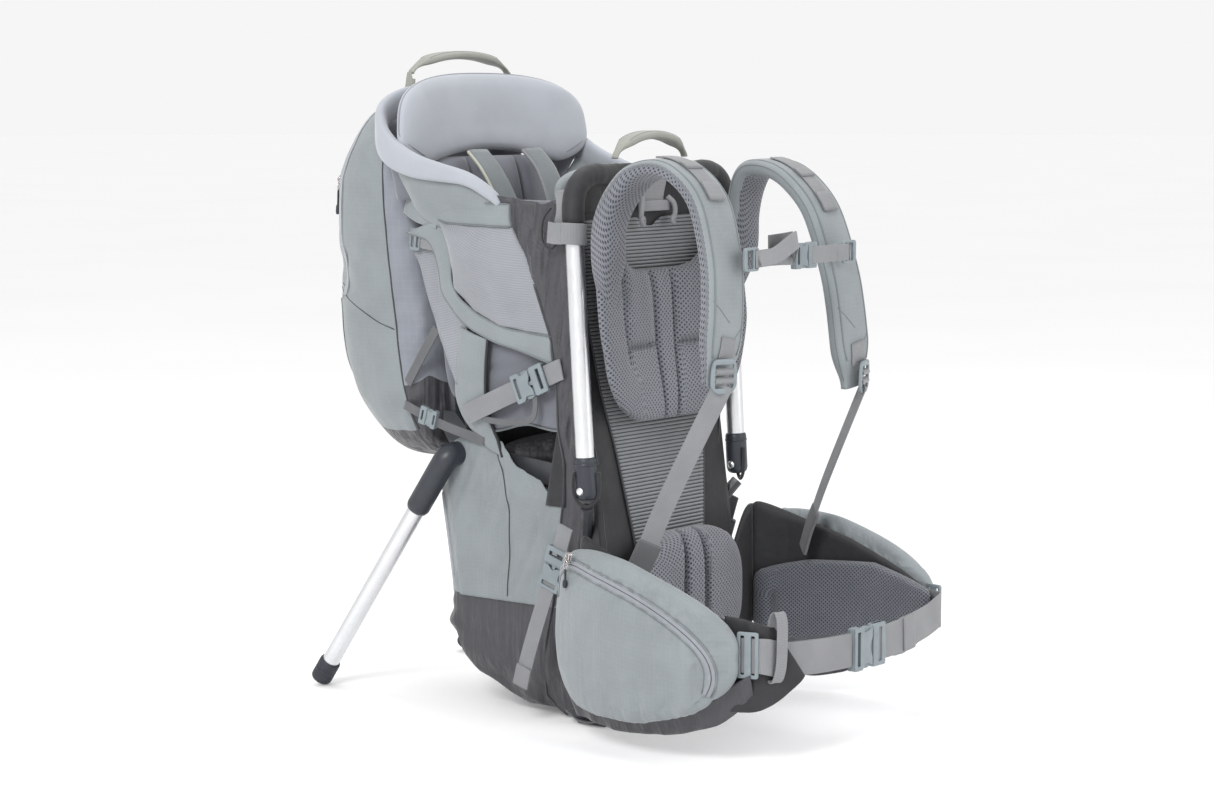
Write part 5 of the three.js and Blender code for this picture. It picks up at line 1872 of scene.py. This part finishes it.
def sternum_strap():
    y, z = STERNUM_Y, STERNUM_Z
    for label, side in SIDES.items():
        line = strap_line(side, label)
        near = line[np.argmin(np.abs(line[:, 2] - z) + (line[:, 1] > -140) * 999)]
        at = np.array([side * 96, y + 2, z])
        holes = [slab((-8, 3), (-10, 10), 2), slab((5.5, 9.5), (-10, 10), 1.5)]
        ring = plate([slab((-13, 13), (-13, 13), 4)] + holes, 4, 1.0)
        clip = assemble(f"sternum_clip_{label}", [(ring, 0)], BUCKLE, at, (-side, 0, 0), FORWARD)
        fit(clip, "sternum", "buckle_plastic", [f"sternum_strap_{label}"])
        hook = spline([at + [side * 6, 2, 0], at + [side * 4, 6, 0], near + [-side * 26, -17, 0]], 12)
        swept(f"sternum_hook_{label}", BUCKLE, hook, oval(20, 3, 5, 16), "sternum", "buckle_plastic",
              across=UPWARD)
    right = spline([(-90, y, z), (-70, y - 1, z + 1), (-48, y - 1, z + 1), (-20, y, z)], 40)
    strap("sternum_webbing_near", "sternum", right, 19, up=FORWARD, thick=1.7)
    bow = spline([(-86, y - 2, z), (-66, y - 10, z + 4), (-48, y - 18, z + 16), (-34, y - 16, z + 20),
                  (-24, y - 6, z + 8), (-20, y - 1, z)], 50)
    strap("sternum_webbing_bow", "sternum", bow, 18, across=(0.2, 0.3, 1), thick=1.5)
    end = spline([(-60, y + 4, z + 16), (-30, y + 6, z + 17), (-8, y + 8, z + 18)], 20)
    strap("sternum_webbing_end", "sternum", end, 18, up=FORWARD, thick=1.7, look=WEBBING_DARK)
    strap("sternum_webbing_far", "sternum", spline([(92, y, z), (52, y + 1, z)], 24), 19, up=FORWARD)
    strap("sternum_webbing_male", "sternum_male", spline([(14, y - 2.6, z), (62, y - 2.4, z)], 20), 19,
          up=FORWARD)
    mouth = (6, y, z)
    for half, body in (("female", "sternum"), ("male", "sternum_male")):
        piece = side_release(f"sternum_buckle_{half}_moulded", body, mouth, (1, 0, 0), FORWARD, 19, 42,
                             half)
        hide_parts(f"sternum_buckle_{half}")


def torso_adjuster():
    """Webbing tab and cords at the top of the yoke's slot, on the back panel."""
    tab = spline([(0, 13, 640), (0, 5, 628), (0, 10, 602), (0, 11, 586)], 20)
    strap("torso_tab", "frame", tab, 40, up=FORWARD, thick=2.6)
    strap("torso_bar", "frame", spline([(-27, 8, 590), (27, 8, 590)], 12), 12, up=FORWARD, thick=4)
    for label, side in SIDES.items():
        cord = side_spline(side, [(24, 7, 600), (30, 2, 592), (32, 2, 580), (28, 4, 572)], 24)
        cord_line(f"torso_cord_{label}", "frame", cord, 3.0, WEBBING, "webbing", up=FORWARD)
        knot = Surface()
        angle = np.linspace(0, 2 * math.pi, 24)
        ring = np.stack([side * 29 + 4 * np.cos(angle), 2 + 1.5 * np.cos(angle),
                         573 + 4 * np.sin(angle)], 1)
        sweep(knot, ring, oval(5, 5, 2, 12), up=FORWARD)
        fit(knot.build(f"torso_knot_{label}", [WEBBING]), "frame", "webbing")


def upright_wrap(side, label):
    """Webbing round the upright near its top, with a sewn end and a cord loop."""
    z0 = 563
    turn = np.linspace(0, 2 * math.pi, 50)
    y0 = upright_y(z0)
    x = side * (UPRIGHT_X + 2 + 17 * np.cos(turn))
    ring = np.stack([x, y0 + 3 + 17 * np.sin(turn), z0 + 1.5 * np.cos(turn)], 1)
    surface = Surface()
    sweep(surface, ring, oval(24, 2.2, 7, 20), across=UPWARD)
    tail = side_spline(side, [(163, y0 + 2, z0 + 1), (163, y0 + 14, z0 + 1), (161, y0 + 24, z0 + 2)], 20)
    sweep(surface, tail, oval(24, 2.6, 7, 20), across=UPWARD)
    drop = side_spline(side, [(148, y0 + 14, 612), (150, y0 + 10, 590), (152, y0 + 12, 574)], 20)
    sweep(surface, drop, oval(18, 2.0, 7, 20), up=(side, -0.4, 0))
    fit(surface.build(f"upright_wrap_{label}", [WEBBING]), "frame", "webbing")
    loop = side_spline(side, [(154, y0 + 26, 592), (158, y0 + 34, 578), (157, y0 + 36, 556),
                              (155, y0 + 26, 546), (153, y0 + 18, 552)], 40)
    side_cord(f"upright_cord_{label}", loop, 1.4, CORD, "black_fabric")


def under_loop(side, label):
    """Webbing loop under the belt's root."""
    path = side_spline(side, [(106, 46, 14), (108, 26, 5), (109, 6, 5), (110, -12, 14)], 40)
    strap(f"under_loop_{label}", "frame", path, 18, across=(side, 0.2, 0), thick=2.2, look=WEBBING_DARK)


def hanging_strap(side, label):
    """Strap with a side-release buckle that hangs from the hip belt, and its sewn end."""
    body = f"strap_{label}"
    x = side * 160
    out = (side, 0, 0)
    top = spline([(x, 10, 236), (x, 14, 224), (x, 19, 208)], 16)
    strap(f"hanging_strap_top_{label}", body, top, 20, up=out, replaces=[f"side_strap_{label}"])
    low = spline([(x, 33, 172), (x + side * 2, 40, 150), (x + side * 3, 54, 110), (x + side, 67, 76),
                  (x, 76, 46)], 50)
    strap(f"hanging_strap_tail_{label}", body, low, 20, up=out)
    fold = low[-10:] + np.array([side * 2.2, 0, 0])
    strap(f"hanging_strap_end_{label}", body, fold, 21.5, up=out, thick=2.4)
    along = unit(np.array([0.0, 8, -25]))
    side_release(f"hanging_buckle_{label}", body, (x, 26.5, 189), -along, out, 20, 50)


# ---- scene -----------------------------------------------------------------------------------


def stage():
    look = Look("studio_floor", 0.9)
    tint = look.remap(look.noise(900, 2.0), 0.3, 0.7)
    colour = look.blend(tint, (0.85, 0.85, 0.855, 1), (0.865, 0.865, 0.87, 1))
    surface = Surface()
    angle = np.linspace(0, 2 * math.pi, 96, endpoint=False)
    rings = [np.stack([r * np.cos(angle), r * np.sin(angle), 0 * angle - 0.4], 1) for r in (60, 600, 4000,
                                                                                            40000)]
    index = surface.grid(np.stack(rings), 0, wrap=True)
    surface.cap(index[0, :-1])
    look.shader.inputs["Emission Color"].default_value = (1, 1, 1, 1)
    look.shader.inputs["Emission Strength"].default_value = 0.13
    floor = surface.build("studio_floor", [look.finish(colour)])

    world = bpy.data.worlds.new("studio")
    world.use_nodes = True
    world.node_tree.nodes["Background"].inputs["Color"].default_value = (1, 1, 1, 1)
    world.node_tree.nodes["Background"].inputs["Strength"].default_value = 0.92
    bpy.context.scene.world = world
    bpy.context.scene.view_settings.view_transform = "Standard"

    def soft_light(name, place, size, power):
        light = bpy.data.lights.new(name, "AREA")
        light.shape = "DISK"
        light.size = size
        light.energy = power
        lamp = linked(name, light)
        lamp.location = place
        lamp.rotation_euler = (Vector((0, 0, 0.38)) - Vector(place)).to_track_quat("-Z", "Y").to_euler()

    soft_light("key", (-2.9, -0.7, 2.2), 1.2, 70)
    soft_light("fill", (0.6, -2.8, 1.4), 2.0, 26)
    soft_light("top", (0.4, 0.6, 3.0), 1.8, 22)


def camera():
    azimuth, elevation, distance = math.radians(-52), math.radians(6.3), 3.191
    target = Vector((-0.1346, -0.0284, 0.3775))
    back = Vector((math.sin(azimuth) * math.cos(elevation), -math.cos(azimuth) * math.cos(elevation),
                   math.sin(elevation)))
    lens = bpy.data.cameras.new("photo_camera")
    lens.lens = 85
    lens.sensor_width = 36
    lens.clip_end = 100
    holder = linked("photo_camera", lens)
    holder.location = target + back * distance
    holder.rotation_euler = (-back).to_track_quat("-Z", "Y").to_euler()
    bpy.context.scene.camera = holder


camera()
stage()
kept_nodes()
upper_frame()
top_sleeve()
for name, hand in SIDES.items():
    upright_cap(hand, name)
    kickstand(hand, name)
daypack_trim(daypack())
for make in (headrest, cockpit_back, cockpit_rim, drool_pad, child_seat, child_harness, back_panel,
             lumbar_pad, belt_band, lower_compartment, yoke_pad):
    make()
SIDE_PIECES = [side_panel, side_pocket, side_border, upper_side, stretch_wedge, side_strut, inner_side,
               side_straps, base_side, leg_flap, hip_wing, hip_pocket, hip_hem, shoulder_strap, strap_end,
               upright_wrap, hanging_strap, frame_corner, corner_lining, under_loop]
for name, hand in SIDES.items():
    for make in SIDE_PIECES:
        make(hand, name)
    slider = wing_point(hand, 0.12, WING_THICK + 31, 212)
    zip_pull(f"pocket_zip_pull_{name}", f"pocket_zip_{name}", slider, (0, 0.1, -1), (hand, 0.2, 0),
             [f"pocket_zip_slider_{name}"], 22)
hip_belt()
sternum_strap()
torso_adjuster()
handle_roots()
haul_handle("rear_handle_padded", "rear_handle", 88, 302, 741.5, 22, "rear_haul_handle")
haul_handle("front_handle_padded", "front_handle", 66, 14, 645, 26, "front_haul_handle")
